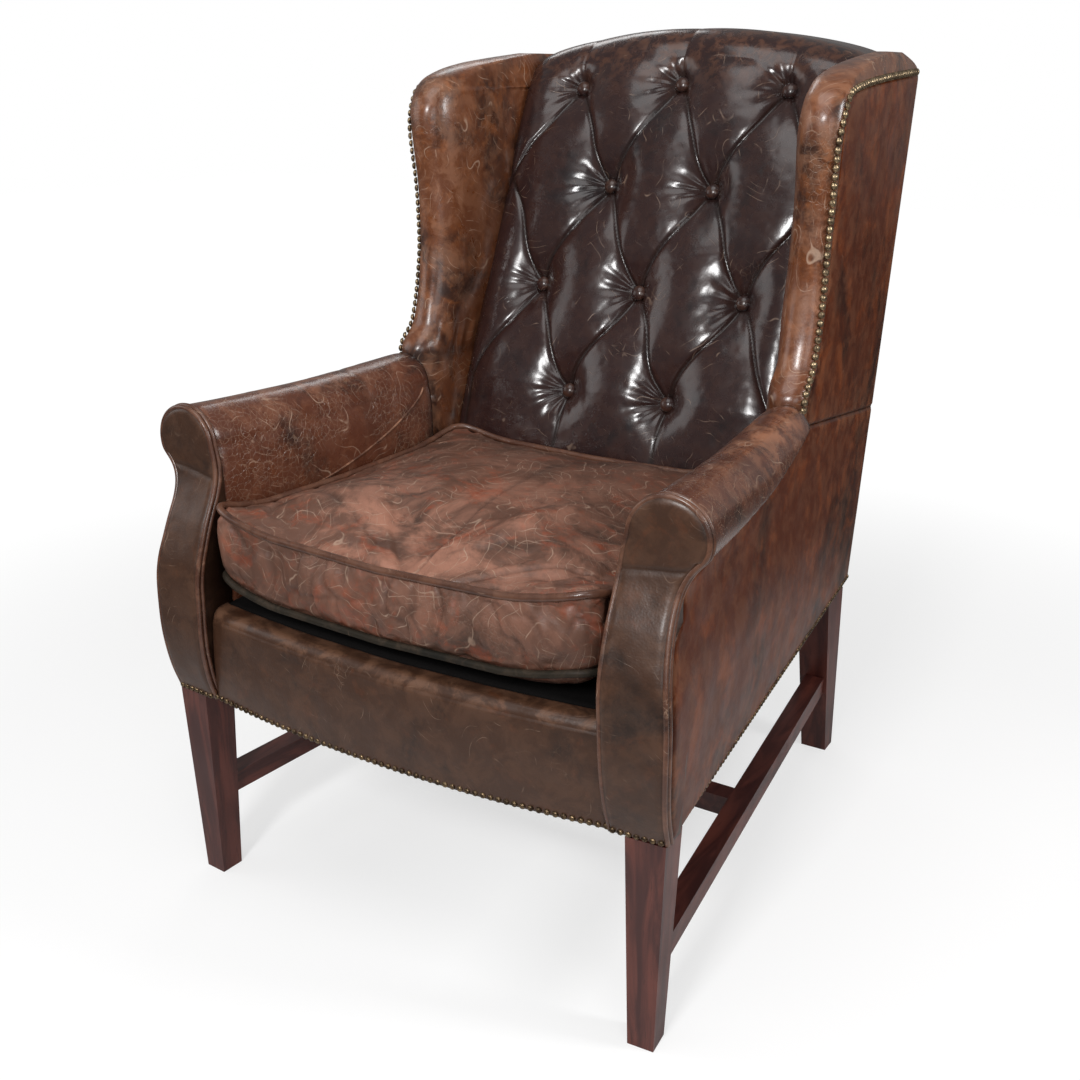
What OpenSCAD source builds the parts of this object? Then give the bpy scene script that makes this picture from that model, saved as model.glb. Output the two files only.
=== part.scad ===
// Wingback chair with a deep-buttoned back, scroll arms, a loose boxed cushion and square mahogany legs.
// Origin: middle of the chair on the floor. X runs across, Y from the front to the back, Z up.

/* [Overall] */
// Height of an arm front
arm_front_h = 375; // [350:5:400]
// Height of the crest above the arm rolls
wing_h = 443; // [400:1:500]
// Depth of a wing, from its foot to the top of the outside back
wing_d = 457.5; // [430:2.5:480]
// Height of the lower edge of the upholstery
skirt_z = 277; // [230:1:320]
// Fall of the crest from its middle to its corners
crest_arch = 48; // [30:1:70]

/* [Seat] */
// How far the foot of the button plane lies ahead of the wings
back_lead = 30; // [20:1:40]
// Thickness of a side at the outside back, at the lower edge
side_w = 20.5; // [18:0.5:26]
// How far the front rail bows forward
bow_d = 24; // [10:1:30]
// Height of the front rail cover
rail_cover_h = 127; // [115:1:135]
// Thickness of the padded front rail cover
rail_cover_t = 14; // [8:1:16]
// Height of the seat rails
rail_h = 75; // [60:1:80]
// Thickness of the seat rails
rail_t = 26; // [20:1:30]
// Distance between the seat rails' underside and the lower edge of the upholstery
rail_lift = 4; // [2:1:8]

/* [Cushion] */
// Room between the cushion and the waist of an arm front
cushion_play = 9.5; // [6:0.5:20]
// Room between the cushion and a wing
cushion_rear_play = 17; // [10:1:24]
// Room between the cushion's back and the button plane, at the deck
cushion_back_play = 10.8; // [8:0.2:20]
// Height of the boxing between the two welts
boxing_h = 88; // [70:1:100]
// Rise of the crown above the upper welt
cushion_crown = 34; // [10:1:45]
// Radius of the welts
welt_r = 4.5; // [3:0.5:6]

/* [Arms] */
// Distance from the side of the inside back out to the foot of an arm front
arm_w = 101; // [90:1:112]
// Distance from the front of the seat back to the wings
arm_l = 457.5; // [430:2.5:480]
// How far a roll stands out past the foot of its arm front
roll_out = 19; // [15:1:27]
// Radius of the arm rolls
roll_r = 44; // [38:1:48]
// Width of the arm fronts at the foot
arm_foot_w = 66; // [60:1:76]
// Width of the arm fronts at the waist
arm_waist_w = 66; // [60:1:76]
// How far the belly of the arm front stands ahead of its foot
belly_d = 21; // [8:1:24]
// How far the roll lies behind the foot of the arm front
roll_back = 25; // [10:1:30]
// Thickness of the padding inside the arms
arm_pad_t = 24; // [16:1:26]
// Thickness of the covers of leather over card
cover_t = 5; // [3:0.5:6]

/* [Back] */
// Depth of the crest, from the button plane to the outside back
crest_d = 158; // [140:1:180]
// Rake of the outside back from upright, in degrees
outside_rake = 4.2; // [2:0.1:6]
// Width of the inside back at the deck
inside_w_low = 504; // [490:1:508]
// How much wider the inside back is at the crest
inside_flare = 14; // [6:1:24]
// Thickness of the padding behind the buttons
back_pad_t = 34; // [24:1:40]
// Height of the pillows between the buttons
pillow_h = 30; // [15:1:36]
// Distance between the buttons of a row
button_pitch = 158; // [140:1:164]
// Height of the lowest row of buttons above the deck
button_low_h = 185.2; // [150:0.1:220]
// Radius of a button
button_r = 11; // [8:0.5:14]

/* [Wings] */
// Thickness of the padding inside a wing
wing_pad_t = 18; // [14:1:20]
// Thickness of a wing at the corner of the outside back
wing_w = 32; // [26:1:44]
// Depth of the rolled front edge of a wing
wing_roll_d = 32; // [24:1:36]
// Radius of a nail head
nail_r = 4.6; // [3:0.1:5]
// Distance between the nails of a wing
nail_pitch = 10.4; // [10.2:0.1:20]

/* [Legs] */
// Width of a front leg at the floor
front_foot_w = 32; // [26:1:40]
// Width of a front leg below the upholstery
front_leg_w = 47; // [40:1:50]
// Turn of the front legs with the bow, in degrees
front_leg_turn = 4; // [0:0.5:6]
// Width of a back leg at the floor
back_foot_w = 40; // [32:1:44]
// Depth of a back leg at the floor
back_foot_d = 31; // [26:1:36]
// Width of a back leg below the upholstery
back_leg_w = 50; // [44:1:54]
// Depth of a back leg below the upholstery
back_leg_d = 66; // [50:1:70]
// Width of a stretcher
stretcher_w = 29; // [24:1:32]
// Height of a stretcher
stretcher_h = 28; // [22:1:34]
// Height of the top of the stretchers
stretcher_z = 136; // [110:1:160]
// Length of a tenon
tenon_l = 14; // [8:1:16]
// Thickness of a tenon
tenon_t = 10; // [8:1:12]

/* [Inner frame] */
// Width of the back posts
post_w = 34; // [26:1:38]
// Depth of the back posts
post_d = 30; // [24:1:34]
// Thickness of the arm rails and the crest rail
board_t = 30; // [24:1:32]
// Width of a webbing strap
strap_w = 50; // [40:1:60]
// Thickness of a webbing strap
strap_t = 2; // [1:0.5:3]
// Number of seat springs
spring_count = 5; // [3:1:6]
// Thickness of the spring wire
wire_t = 4; // [3:0.5:5]

/* [Hidden] */

leather_dark = [0.16, 0.08, 0.06];
leather_brown = [0.36, 0.18, 0.10];
leather_chestnut = [0.48, 0.22, 0.10];
leather_grey = [0.30, 0.21, 0.18];
mahogany = [0.27, 0.09, 0.07];
beech = [0.78, 0.62, 0.42];
jute = [0.66, 0.54, 0.36];
brass = [0.62, 0.50, 0.28];
steel = [0.55, 0.56, 0.58];
black_cloth = [0.05, 0.05, 0.05];

// Gap between pieces that lie against each other
seat_gap = 0.3;
// Overrun of every cut past the face that it opens
cut = 1;
// Distance of the arm fronts' foot behind the ends of the front rail's bow
arm_step = 3;
// How far the inner edge of an arm front stands ahead of its outer edge
arm_splay = 5;
// Depth of the front rail cover's lip, behind its padding
lip_d = 14;
// Rise of the deck above the front rail cover
deck_rise = 10;
// Setback of the legs' faces and joints
leg_inset = 2;
// Dip of the arm rolls between their ends
arm_dip = 6;
// Angle by which a roll tucks in under its widest line
roll_tuck = 26;
// Distance of the back legs ahead of the back seat rail
back_leg_set = 9;
// Place of the cross stretcher between the front and the back legs
cross_share = 0.441;
// How much of the inside back's slope the back of the cushion follows
lean_share = 0.75;
// Part of the turn over the crest that its inner rows take
turn_share = 0.985;
// Distance from the crest's top down to the first row of buttons
button_drop = 76;
// Least radius and step of the soft forms
soft_r = 1;
// Height of the padding over the crest and along the sides of the inside back
crest_edge = 12;
// Radius of the turn over the crest
crest_turn_r = 50;
// Distance from the front of a wing back to its row of nails
wing_lip = 20;
// Rise of a wing's top above its corner
wing_crown = 15;
// Legs of the corner blocks
block_leg = 70;
// Number of bends of a seat spring, and half its width
spring_loops = 16;
spring_half_w = 22;
// Rows of buttons
button_rows = 4;
// Number of straps behind the inside back
strap_count = 5;
// Facets of the soft forms: round a roll, along an arm, up a wing, up an arm front and round the cushion
roll_steps = 12;
arm_rows = 8;
wing_rows = 26;
arm_front_rows = 20;
cushion_steps = 44;
// Cells of the inside back between two buttons, each way, and its rows round the crest
tuft_cells = 3;
turn_rows = 3;

overall_d = arm_l + wing_d;
arm_h = skirt_z + arm_front_h;
overall_h = arm_h + wing_h;
front_y = -overall_d / 2;
rear_top_y = overall_d / 2;
rear_slope = tan(outside_rake);
corner_z = overall_h - crest_arch;
back_top_z = overall_h - crest_edge;
rail_z = skirt_z + rail_lift;
rail_top = rail_z + rail_h;
foot_y = front_y + bow_d + arm_step;
arm_end_y = front_y + arm_l;
tuft_foot_y = arm_end_y - back_lead;
seat_front_w = inside_w_low + 2 * arm_w;
seat_rear_w = inside_w_low + 2 * side_w;
inside_w_top = inside_w_low + inside_flare;
back_top_w = inside_w_top + 2 * wing_w;
arm_over_w = seat_front_w + 2 * roll_out;
rail_cover_w = seat_front_w - 2 * arm_foot_w;
inside_slope = (rear_y(corner_z) - crest_d - tuft_foot_y) / (corner_z - skirt_z);
inside_rake = atan(inside_slope);
bow_r = (pow(rail_cover_w / 2, 2) + bow_d * bow_d) / (2 * bow_d);
arch_r = (pow(back_top_w / 2, 2) + crest_arch * crest_arch) / (2 * crest_arch);
arm_back_y = foot_y + roll_back + 2 * cover_t;
roll_x = arm_over_w / 2 - roll_r;
roll_z = arm_h - roll_r;
roll_low_z = roll_z - roll_r * sin(roll_tuck);
arm_rail_top = roll_low_z - arm_dip - seat_gap;
arm_rail_z = arm_rail_top - board_t;
deck_z = skirt_z + rail_cover_h + deck_rise;
deck_z0 = rail_top + wire_t + 2 * seat_gap;
cushion_z = deck_z + seat_gap;
side_pad = cover_t + seat_gap;
back_leg_y = rear_y(skirt_z) - side_pad - rail_t - back_leg_d / 2 - back_leg_set;
rear_flare = (back_top_w - seat_rear_w) / 2 / (corner_z - skirt_z);
button_cos = cos(inside_rake);
button_top_z = overall_h - button_drop;
button_row_pitch = (button_top_z - deck_z - button_low_h) / (button_rows - 1) / button_cos;
crest_z = corner_z - back_pad_t - board_t;

function lerp(a, b, t) = a + (b - a) * t;
function clamp01(t) = max(0, min(1, t));
function rear_y(z) = rear_top_y - (back_top_z - z) * rear_slope;
function rear_x(z) = seat_rear_w / 2 + (z - skirt_z) * rear_flare;
function tuft_y(z) = tuft_foot_y + (z - skirt_z) * inside_slope;
function bow_y(x) = front_y + bow_r - sqrt(bow_r * bow_r - x * x);
function arch_fall(x) = arch_r - sqrt(max(0, arch_r * arch_r - x * x));
function inside_x(z) = lerp(inside_w_low, inside_w_top, (z - deck_z) / (overall_h - deck_z)) / 2;

// Outline of an arm front. Heights are shares of its height. The others are shares of the reach of the
// roll past the foot, of the belly's or the roll's depth, and of the way in to the waist
arm_out_shares = [[0, 0], [0.09, 0.05], [0.27, 0.15], [0.40, 0.10], [0.48, -0.05], [0.59, -0.35],
    [0.70, -0.50], [0.77, -0.25], [0.83, 0.45]];
arm_forward_shares = [[0, 0], [0.09, 0.55], [0.20, 0.9], [0.30, 1], [0.42, 1], [0.50, 0.85], [0.58, 0.4],
    [0.64, 0], [0.70, -0.45], [0.78, -0.9], [0.86, -1], [1, -1]];
arm_in_shares = [[0, -0.4], [0.2, 0], [0.4, 0.5], [0.6, 0.9], [0.75, 1], [0.84, 0.55], [0.88, 0]];
// Reach of the sides' outer face at the arm fronts, above the arms, as shares of the foot's half width
wing_reach_shares = [[0.7, 0.973], [0.85, 0.98], [1.25, 0.975], [1.47, 0.965], [1.7, 0.975], [1.9, 0.99],
    [2.3, 1]];

function arm_share(z) = (z - skirt_z) / (arm_h - skirt_z);
function arm_forward(z) = let (s = lookup(arm_share(z), arm_forward_shares))
    s * (s > 0 ? belly_d : roll_back);
function arm_face_y(z) = foot_y - arm_forward(z);
function roll_half(z) = sqrt(max(0, roll_r * roll_r - pow(z - roll_z, 2)));
function arm_out_x(z) = z > roll_low_z ? roll_x + roll_half(z)
    : seat_front_w / 2 + lookup(arm_share(z), arm_out_shares) * roll_out;
waist_x = seat_front_w / 2 - roll_out / 2 - arm_waist_w;
function arm_in_x(z) = z > roll_z ? roll_x - roll_half(z)
    : lerp(roll_x - roll_r, waist_x, lookup(arm_share(z), arm_in_shares));

// Outer face of the sides, straight in plan from the arm front to the corner of the outside back
function side_front_x(z) = arm_share(z) < wing_reach_shares[0][0]
    ? arm_out_x(z)
    : seat_front_w / 2 * lookup(arm_share(z), wing_reach_shares);
function side_x(y, z) = lerp(side_front_x(z), rear_x(z), (y - foot_y) / (rear_y(z) - foot_y));

// The arms' inner faces draw in towards the back with the seat
arm_taper = (roll_x - roll_r - inside_w_low / 2) / (arm_end_y - arm_back_y);
function arm_shift(y) = -arm_taper * (y - arm_back_y);
arm_inner_x = roll_x - roll_r + arm_pad_t + seat_gap;

// Front edge of a wing: heights as shares of the way from the arm's top to the wing's corner, then the
// distance behind the arms' end as shares of the greatest one
wing_back_d = 50;
wing_front_shares = [[-1, 0], [0, 0], [0.03, 0.1], [0.08, 0.48], [0.15, 0.7], [0.23, 0.85], [0.34, 0.98],
    [0.45, 1], [0.6, 0.98], [0.72, 0.88], [0.8, 0.84], [0.86, 0.9], [0.92, 1.2], [0.96, 1.75], [1, 3.1],
    [1.02, 4.4], [1.04, 6]];
function wing_share(z) = (z - arm_h) / (corner_z - arm_h);
function wing_y(z) = arm_end_y + seat_gap + wing_back_d * lookup(wing_share(z), wing_front_shares);
wing_top_z = corner_z + wing_crown;
function wing_in_x(z) = inside_x(z) + seat_gap;

// A closed solid between two grids of points. Where the back has fewer rows, the sides are plane. Each
// cell of a folded front is cut along its deeper diagonal
module slab(front, back, folded = false) {
    r = len(front);
    rb = len(back);
    c = len(front[0]);
    n = r * c;
    points = concat([for (row = front) each row], [for (row = back) each row]);
    sides = r == rb
        ? [for (i = [0 : r - 2]) let (a = i * c, b = i * c + c - 1) each
            [[a, n + a, a + c], [a + c, n + a, n + a + c], [b, b + c, n + b], [b + c, n + b + c, n + b]]]
        : [concat([for (i = [r - 1 : -1 : 0]) i * c], [for (i = [0 : rb - 1]) n + i * c]),
           concat([for (i = [0 : r - 1]) i * c + c - 1], [for (i = [rb - 1 : -1 : 0]) n + i * c + c - 1])];
    faces = concat(sides,
        [for (i = [0 : r - 2], j = [0 : c - 2]) let (a = i * c + j) each
            folded && front[i][j][1] + front[i + 1][j + 1][1] > front[i + 1][j][1] + front[i][j + 1][1]
                ? [[a, a + c, a + c + 1], [a, a + c + 1, a + 1]]
                : [[a, a + c, a + 1], [a + 1, a + c, a + c + 1]]],
        [for (i = [0 : rb - 2], j = [0 : c - 2]) let (a = n + i * c + j) each
            [[a, a + 1, a + c], [a + 1, a + c + 1, a + c]]],
        [for (j = [0 : c - 2]) each [[j, j + 1, n + j], [j + 1, n + j + 1, n + j]]],
        [for (j = [0 : c - 2]) let (a = (r - 1) * c + j, b = n + (rb - 1) * c + j) each
            [[a, b, a + 1], [a + 1, b, b + 1]]]);
    polyhedron(points, faces);
}

// A closed solid through rings of points
module loft(rings) {
    r = len(rings);
    c = len(rings[0]);
    points = [for (ring = rings) each ring];
    faces = concat(
        [[for (j = [0 : c - 1]) j]],
        [[for (j = [c - 1 : -1 : 0]) (r - 1) * c + j]],
        [for (i = [0 : r - 2], j = [0 : c - 1]) let (a = i * c + j, b = i * c + (j + 1) % c) each
            [[a, a + c, b], [b, a + c, b + c]]]);
    polyhedron(points, faces);
}

// A closed tube through rings of points, of which the last joins the first
module ring_loft(rings) {
    r = len(rings);
    c = len(rings[0]);
    points = [for (ring = rings) each ring];
    faces = [for (i = [0 : r - 1], j = [0 : c - 1])
        let (k = (i + 1) % r, a = i * c + j, b = i * c + (j + 1) % c, d = k * c + j, e = k * c + (j + 1) % c)
        each [[a, b, d], [b, e, d]]];
    polyhedron(points, faces);
}

module mirrored() {
    mirror([1, 0, 0]) children();
}

module raised(z, h) {
    translate([0, 0, z]) linear_extrude(h) children();
}

// Legs

leg_x = seat_front_w / 2 - front_leg_w / 2 - leg_inset;
leg_y = foot_y + front_leg_w / 2 - leg_inset;
leg_post_w = front_leg_w - 2 * (cover_t + arm_step);
leg_post_y = foot_y + rail_cover_t;
back_leg_x = side_x(back_leg_y, skirt_z) - back_leg_w / 2 - leg_inset;
back_foot_y = back_leg_y + (back_leg_d - back_foot_d) / 2 + leg_inset;
back_foot_x = back_leg_x + (back_leg_w - back_foot_w) / 2 + 2 * leg_inset;
back_block_y = back_leg_y - back_leg_d / 2 + leg_inset;
back_block_w = back_leg_w - rail_t - cover_t - 2 * leg_inset;
stretcher_mid_z = stretcher_z - stretcher_h / 2;
stretcher_share = stretcher_mid_z / skirt_z;
stretcher_front_y = leg_y + lerp(front_foot_w, front_leg_w, stretcher_share) / 2;
stretcher_rear_y = lerp(back_foot_y - back_foot_d / 2, back_leg_y - back_leg_d / 2, stretcher_share);
stretcher_front_x = leg_x + leg_inset;
stretcher_rear_x = lerp(back_foot_x, back_leg_x, stretcher_share) + leg_inset;
stretcher_turn = atan2(stretcher_front_x - stretcher_rear_x, stretcher_rear_y - stretcher_front_y);
stretcher_l = norm([stretcher_front_x - stretcher_rear_x, stretcher_rear_y - stretcher_front_y]);
cross_y = lerp(stretcher_front_y, stretcher_rear_y, cross_share);
cross_x = lerp(stretcher_front_x, stretcher_rear_x, cross_share) - stretcher_w / 2 / cos(stretcher_turn);
tenon_h = stretcher_h - 2 * cover_t;

// A tapered block between two rectangles, each given as its centre, width and depth
module taper(low, high, h) {
    loft([for (k = [0, 1]) let (c = k == 0 ? low : high)
        [for (s = [[-1, -1], [1, -1], [1, 1], [-1, 1]])
            [c[0] + s[0] * c[2] / 2, c[1] + s[1] * c[3] / 2, k * h]]]);
}

module front_taper(grow) {
    translate([leg_x, leg_y, 0]) rotate([0, 0, front_leg_turn])
        taper([0, 0, front_foot_w + grow, front_foot_w + 2 * seat_gap * sign(grow)],
            [0, 0, front_leg_w + grow, front_leg_w + 2 * seat_gap * sign(grow)], skirt_z);
}

module back_taper(grow) {
    taper([back_foot_x, back_foot_y, back_foot_w + grow, back_foot_d + 2 * seat_gap * sign(grow)],
        [back_leg_x, back_leg_y, back_leg_w + grow, back_leg_d + 2 * seat_gap * sign(grow)], skirt_z);
}

module front_leg() {
    color(mahogany) difference() {
        union() {
            front_taper(0);
            translate([leg_x - leg_post_w / 2, leg_post_y, skirt_z - cut])
                cube([leg_post_w, leg_post_w, rail_top - skirt_z + cut]);
        }
        side_tenons(seat_gap);
    }
}

module back_leg() {
    color(mahogany) difference() {
        union() {
            back_taper(0);
            translate([back_leg_x - back_leg_w / 2, back_block_y, skirt_z - cut])
                cube([back_block_w, back_leg_d - 2 * leg_inset, rail_top - skirt_z + cut]);
        }
        side_tenons(seat_gap);
    }
}

module side_tenons(gap) {
    translate([stretcher_front_x, stretcher_front_y, stretcher_mid_z]) rotate([0, 0, stretcher_turn])
        translate([-tenon_t / 2 - gap, -tenon_l - gap, -tenon_h / 2 - gap])
            cube([tenon_t + 2 * gap, stretcher_l + 2 * tenon_l + 2 * gap, tenon_h + 2 * gap]);
}

// The shoulders of a side stretcher are cut to the slope of the legs' faces
module side_stretcher() {
    color(mahogany) difference() {
        union() {
            difference() {
                translate([stretcher_front_x, stretcher_front_y, stretcher_mid_z])
                    rotate([0, 0, stretcher_turn])
                        translate([-stretcher_w / 2, -tenon_l, -stretcher_h / 2])
                            cube([stretcher_w, stretcher_l + 2 * tenon_l, stretcher_h]);
                front_taper(stretcher_l);
                back_taper(stretcher_l);
            }
            side_tenons(0);
        }
        cross_tenon(seat_gap);
    }
}

module cross_tenon(gap) {
    translate([-cross_x - tenon_l - gap, cross_y - tenon_t / 2 - gap, stretcher_mid_z - tenon_h / 2 - gap])
        cube([2 * (cross_x + tenon_l + gap), tenon_t + 2 * gap, tenon_h + 2 * gap]);
}

module cross_stretcher() {
    half = cross_x - seat_gap;
    skew = stretcher_w / 2 * tan(stretcher_turn);
    color(mahogany) union() {
        raised(stretcher_z - stretcher_h, stretcher_h)
            polygon([[-half - skew, cross_y - stretcher_w / 2], [half + skew, cross_y - stretcher_w / 2],
                [half - skew, cross_y + stretcher_w / 2], [-half + skew, cross_y + stretcher_w / 2]]);
        cross_tenon(0);
    }
}

// Seat frame

// Half width between the arm fronts at their foot
arm_foot_x = roll_x - roll_r - seat_gap;
rear_rail_y = rear_y(skirt_z) - side_pad - rail_t;
inner_rail_y = tuft_y(rail_top) + back_pad_t + seat_gap;
stile_d = post_d / button_cos;

// Plan of the space between the side covers, from one depth to another
module side_plan(y0, y1, inset) {
    polygon([[-side_x(y0, skirt_z) + inset, y0], [side_x(y0, skirt_z) - inset, y0],
        [side_x(y1, skirt_z) - inset, y1], [-side_x(y1, skirt_z) + inset, y1]]);
}

module front_seat_rail() {
    half = leg_x - leg_post_w / 2 - seat_gap;
    color(beech) raised(rail_z, rail_h) intersection() {
        translate([0, front_y + bow_r]) circle(r = bow_r - rail_cover_t - seat_gap, $fn = 360);
        union() {
            translate([-half, leg_post_y]) square([2 * half, rail_t]);
            translate([-arm_foot_x, front_y]) square([2 * arm_foot_x, leg_post_y + cut - front_y]);
        }
    }
}

module back_seat_rail() {
    color(beech) raised(rail_z, rail_h) side_plan(rear_rail_y, rear_rail_y + rail_t, side_pad);
}

// The rail under the inside back carries the springs and the back stiles
module inner_back_rail() {
    color(beech) raised(rail_z, rail_h)
        side_plan(inner_rail_y, inner_rail_y + stile_d + strap_t, side_pad + rail_t + seat_gap);
}

module side_seat_rail() {
    y0 = leg_post_y + leg_post_w + seat_gap;
    y1 = rear_rail_y - seat_gap;
    color(beech) raised(rail_z, rail_h)
        polygon([for (p = [[y0, 0], [y1, 0], [y1, rail_t], [y0, rail_t]])
            [side_x(p[0], skirt_z) - side_pad - p[1], p[0]]]);
}

// Glued blocks behind the front rail and ahead of the inner back rail
module corner_blocks() {
    y0 = leg_post_y + leg_post_w + seat_gap;
    y1 = inner_rail_y - seat_gap;
    function rail_x(y) = side_x(y, skirt_z) - side_pad - rail_t - seat_gap;
    color(beech) raised(rail_z, rail_h - post_d) for (s = [-1, 1]) scale([s, 1]) {
        polygon([[rail_x(y0), y0], [rail_x(y0 + block_leg), y0 + block_leg], [rail_x(y0) - block_leg, y0]]);
        polygon([[rail_x(y1), y1], [rail_x(y1 - block_leg), y1 - block_leg], [rail_x(y1) - block_leg, y1]]);
    }
}

// A spring of bent wire that runs from the front rail to the inner back rail
module seat_spring(x) {
    y0 = leg_post_y;
    pitch = (inner_rail_y + stile_d / 2 - y0) / spring_loops;
    straight = 2 * spring_half_w - pitch;
    color(steel) translate([x, y0, rail_top + seat_gap]) linear_extrude(wire_t) {
        for (k = [0 : spring_loops - 1]) scale([k % 2 == 0 ? 1 : -1, 1])
            translate([straight / 2, (k + 0.5) * pitch]) intersection() {
                difference() {
                    circle(r = (pitch + wire_t) / 2, $fn = 32);
                    circle(r = (pitch - wire_t) / 2, $fn = 32);
                }
                translate([0, -pitch]) square([pitch, 2 * pitch]);
            }
        for (k = [0 : spring_loops]) translate([-straight / 2, k * pitch - wire_t / 2])
            square([straight, wire_t]);
    }
}

module seat_springs() {
    span = 2 * (stile_x - post_w / 2 - spring_half_w - wire_t);
    for (k = [0 : spring_count - 1]) seat_spring(lerp(-span / 2, span / 2, k / (spring_count - 1)));
}

// The black deck under the cushion, a crowned pad on the springs
module seat_deck() {
    n = 10;
    half = arm_in_x(deck_z) - arm_step;
    deck_rear_y = tuft_y(deck_z0) - 2 * crest_edge;
    function at(j, i, top) = let (u = 2 * j / n - 1, v = i / n,
            x0 = u * half, x = x0 + u * arm_shift(lerp(arm_back_y, deck_rear_y, v)))
        [x, lerp(bow_y(x0) + rail_cover_t + lip_d + 2 * seat_gap, deck_rear_y, v),
            top ? deck_z - deck_rise * (pow(u, 4) + pow(2 * v - 1, 4)) / 2 : deck_z0];
    color(black_cloth) slab([for (i = [0 : n]) [for (j = [0 : n]) at(j, i, true)]],
        [for (i = [0 : n]) [for (j = [0 : n]) at(j, i, false)]]);
}

module dust_cover() {
    color(black_cloth) raised(rail_z - seat_gap - strap_t, strap_t) difference() {
        intersection() {
            side_plan(front_y, rear_rail_y + rail_t, side_pad);
            translate([0, front_y + bow_r]) circle(r = bow_r - rail_cover_t - seat_gap, $fn = 360);
        }
        for (s = [-1, 1]) scale([s, 1]) {
            translate([arm_foot_x, front_y])
                square([seat_front_w, leg_y + front_leg_w / 2 + 2 * leg_inset - front_y]);
            translate([back_leg_x - back_leg_w / 2 - leg_inset, back_leg_y - back_leg_d / 2 - leg_inset])
                square([seat_front_w, back_leg_d + 2 * leg_inset]);
        }
    }
}

// A padded strip that follows the bow and folds over the front rail in a rounded lip
module front_rail_cover() {
    lip_z = skirt_z + rail_cover_h;
    low_x = arm_in_x(skirt_z) - seat_gap;
    lip_x = arm_in_x(lip_z) - 2 * seat_gap;
    color(leather_grey) intersection() {
        translate([0, front_y + bow_r, 0]) rotate([0, 0, -120]) rotate_extrude(angle = 60, $fn = 360)
        union() {
            translate([bow_r - rail_cover_t, skirt_z]) square([rail_cover_t, rail_cover_h - rail_cover_t]);
            translate([bow_r - rail_cover_t, lip_z - rail_cover_t]) intersection() {
                circle(r = rail_cover_t, $fn = 64);
                square(rail_cover_t);
            }
            translate([bow_r - rail_cover_t - lip_d, deck_z0 + wire_t])
                square([lip_d, lip_z - deck_z0 - wire_t]);
        }
        translate([0, arm_end_y, 0]) rotate([90, 0, 0]) linear_extrude(overall_d)
            polygon([[-low_x, skirt_z - cut], [low_x, skirt_z - cut],
                [lip_x, lip_z + cut], [-lip_x, lip_z + cut]]);
    }
}

// Back frame

post_x = rear_x(skirt_z) - side_pad - rail_t - post_w / 2;
stile_x = (inside_w_low - post_w) / 2;
crest_y0 = tuft_y(crest_z) + (back_pad_t + strap_t) / button_cos + 2 * seat_gap;
crest_y1 = rear_y(crest_z) - side_pad;

// A bar of a named section that leans back by a slope from its foot
module leaning(foot, w, d, h, slope) {
    multmatrix([[1, 0, 0, foot[0]], [0, 1, slope, foot[1]], [0, 0, 1, foot[2]]])
        translate([-w / 2, 0, 0]) cube([w, d, h]);
}

module back_post() {
    color(beech) leaning([post_x, rear_y(rail_top) - side_pad - post_d, rail_top + seat_gap],
        post_w, post_d, crest_z - rail_top - 2 * seat_gap, rear_slope);
}

// The stiles of the inside back stand on the inner back rail and lean back to the crest rail
module back_stile() {
    foot_z = rail_top + seat_gap;
    foot_y = tuft_y(foot_z) + (back_pad_t + strap_t) / button_cos + 2 * seat_gap;
    color(beech) leaning([stile_x, foot_y, foot_z],
        post_w, stile_d, crest_z - rail_top - 2 * seat_gap, inside_slope);
}

// The crest rail is a board that ties the stiles, the posts and the wings, with two arched ribs on it
module crest_rail() {
    inner = inside_x(crest_z);
    outer = side_x(crest_y1, crest_z) - side_pad;
    color(beech) difference() {
        translate([0, crest_y1, 0]) rotate([90, 0, 0]) linear_extrude(crest_y1 - crest_y0) {
            translate([-outer, crest_z]) square([2 * outer, board_t]);
            intersection() {
                translate([0, overall_h - back_pad_t - arch_r]) circle(r = arch_r, $fn = 360);
                translate([-inner, crest_z]) square([2 * inner, overall_h - crest_z]);
            }
        }
        translate([-inner - cut, crest_y0 + rail_t, crest_z + board_t])
            cube([2 * (inner + cut), crest_y1 - crest_y0 - 2 * rail_t, overall_h - crest_z]);
    }
}

module back_webbing() {
    z0 = rail_top + strap_w;
    z1 = crest_z - 2 * strap_w;
    color(jute) for (k = [0 : strap_count - 1]) let (z = lerp(z0, z1, k / (strap_count - 1)))
        leaning([0, tuft_y(z) + back_pad_t / button_cos + seat_gap, z], inside_w_low,
            strap_t / button_cos, strap_w, inside_slope);
}

// Arm and wing frames

module arm_rail() {
    y0 = arm_back_y + seat_gap;
    y1 = rear_y(arm_rail_z) - side_pad - post_d;
    function out_x(y) = side_x(y, arm_rail_z + board_t / 2) - side_pad - arm_step;
    pad_y = tuft_y(arm_rail_top) + back_pad_t + seat_gap;
    inner_x = wing_in_x(arm_rail_top) + wing_pad_t + seat_gap;
    color(beech) raised(arm_rail_z, board_t)
        polygon([[arm_inner_x, y0], [out_x(y0), y0], [out_x(arm_end_y), arm_end_y], [out_x(y1), y1],
            [out_x(y1) - (out_x(pad_y) - inner_x), y1], [inner_x, pad_y],
            [arm_inner_x + arm_shift(arm_end_y), arm_end_y]]);
}

module arm_stump() {
    x1 = side_x(arm_back_y + post_d, arm_rail_z) - side_pad - arm_step;
    color(beech) translate([arm_inner_x, arm_back_y + seat_gap, rail_top + seat_gap])
        cube([x1 - arm_inner_x, post_d, arm_rail_z - rail_top - 2 * seat_gap]);
}

wing_post_y = arm_end_y + wing_back_d + wing_roll_d + soft_r + 2 * seat_gap;
wing_post_x = wing_in_x(crest_z + board_t) + wing_pad_t + seat_gap;
wing_frame_x = side_x(wing_post_y + post_w, arm_rail_top) - side_pad - 2 * seat_gap;

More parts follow.
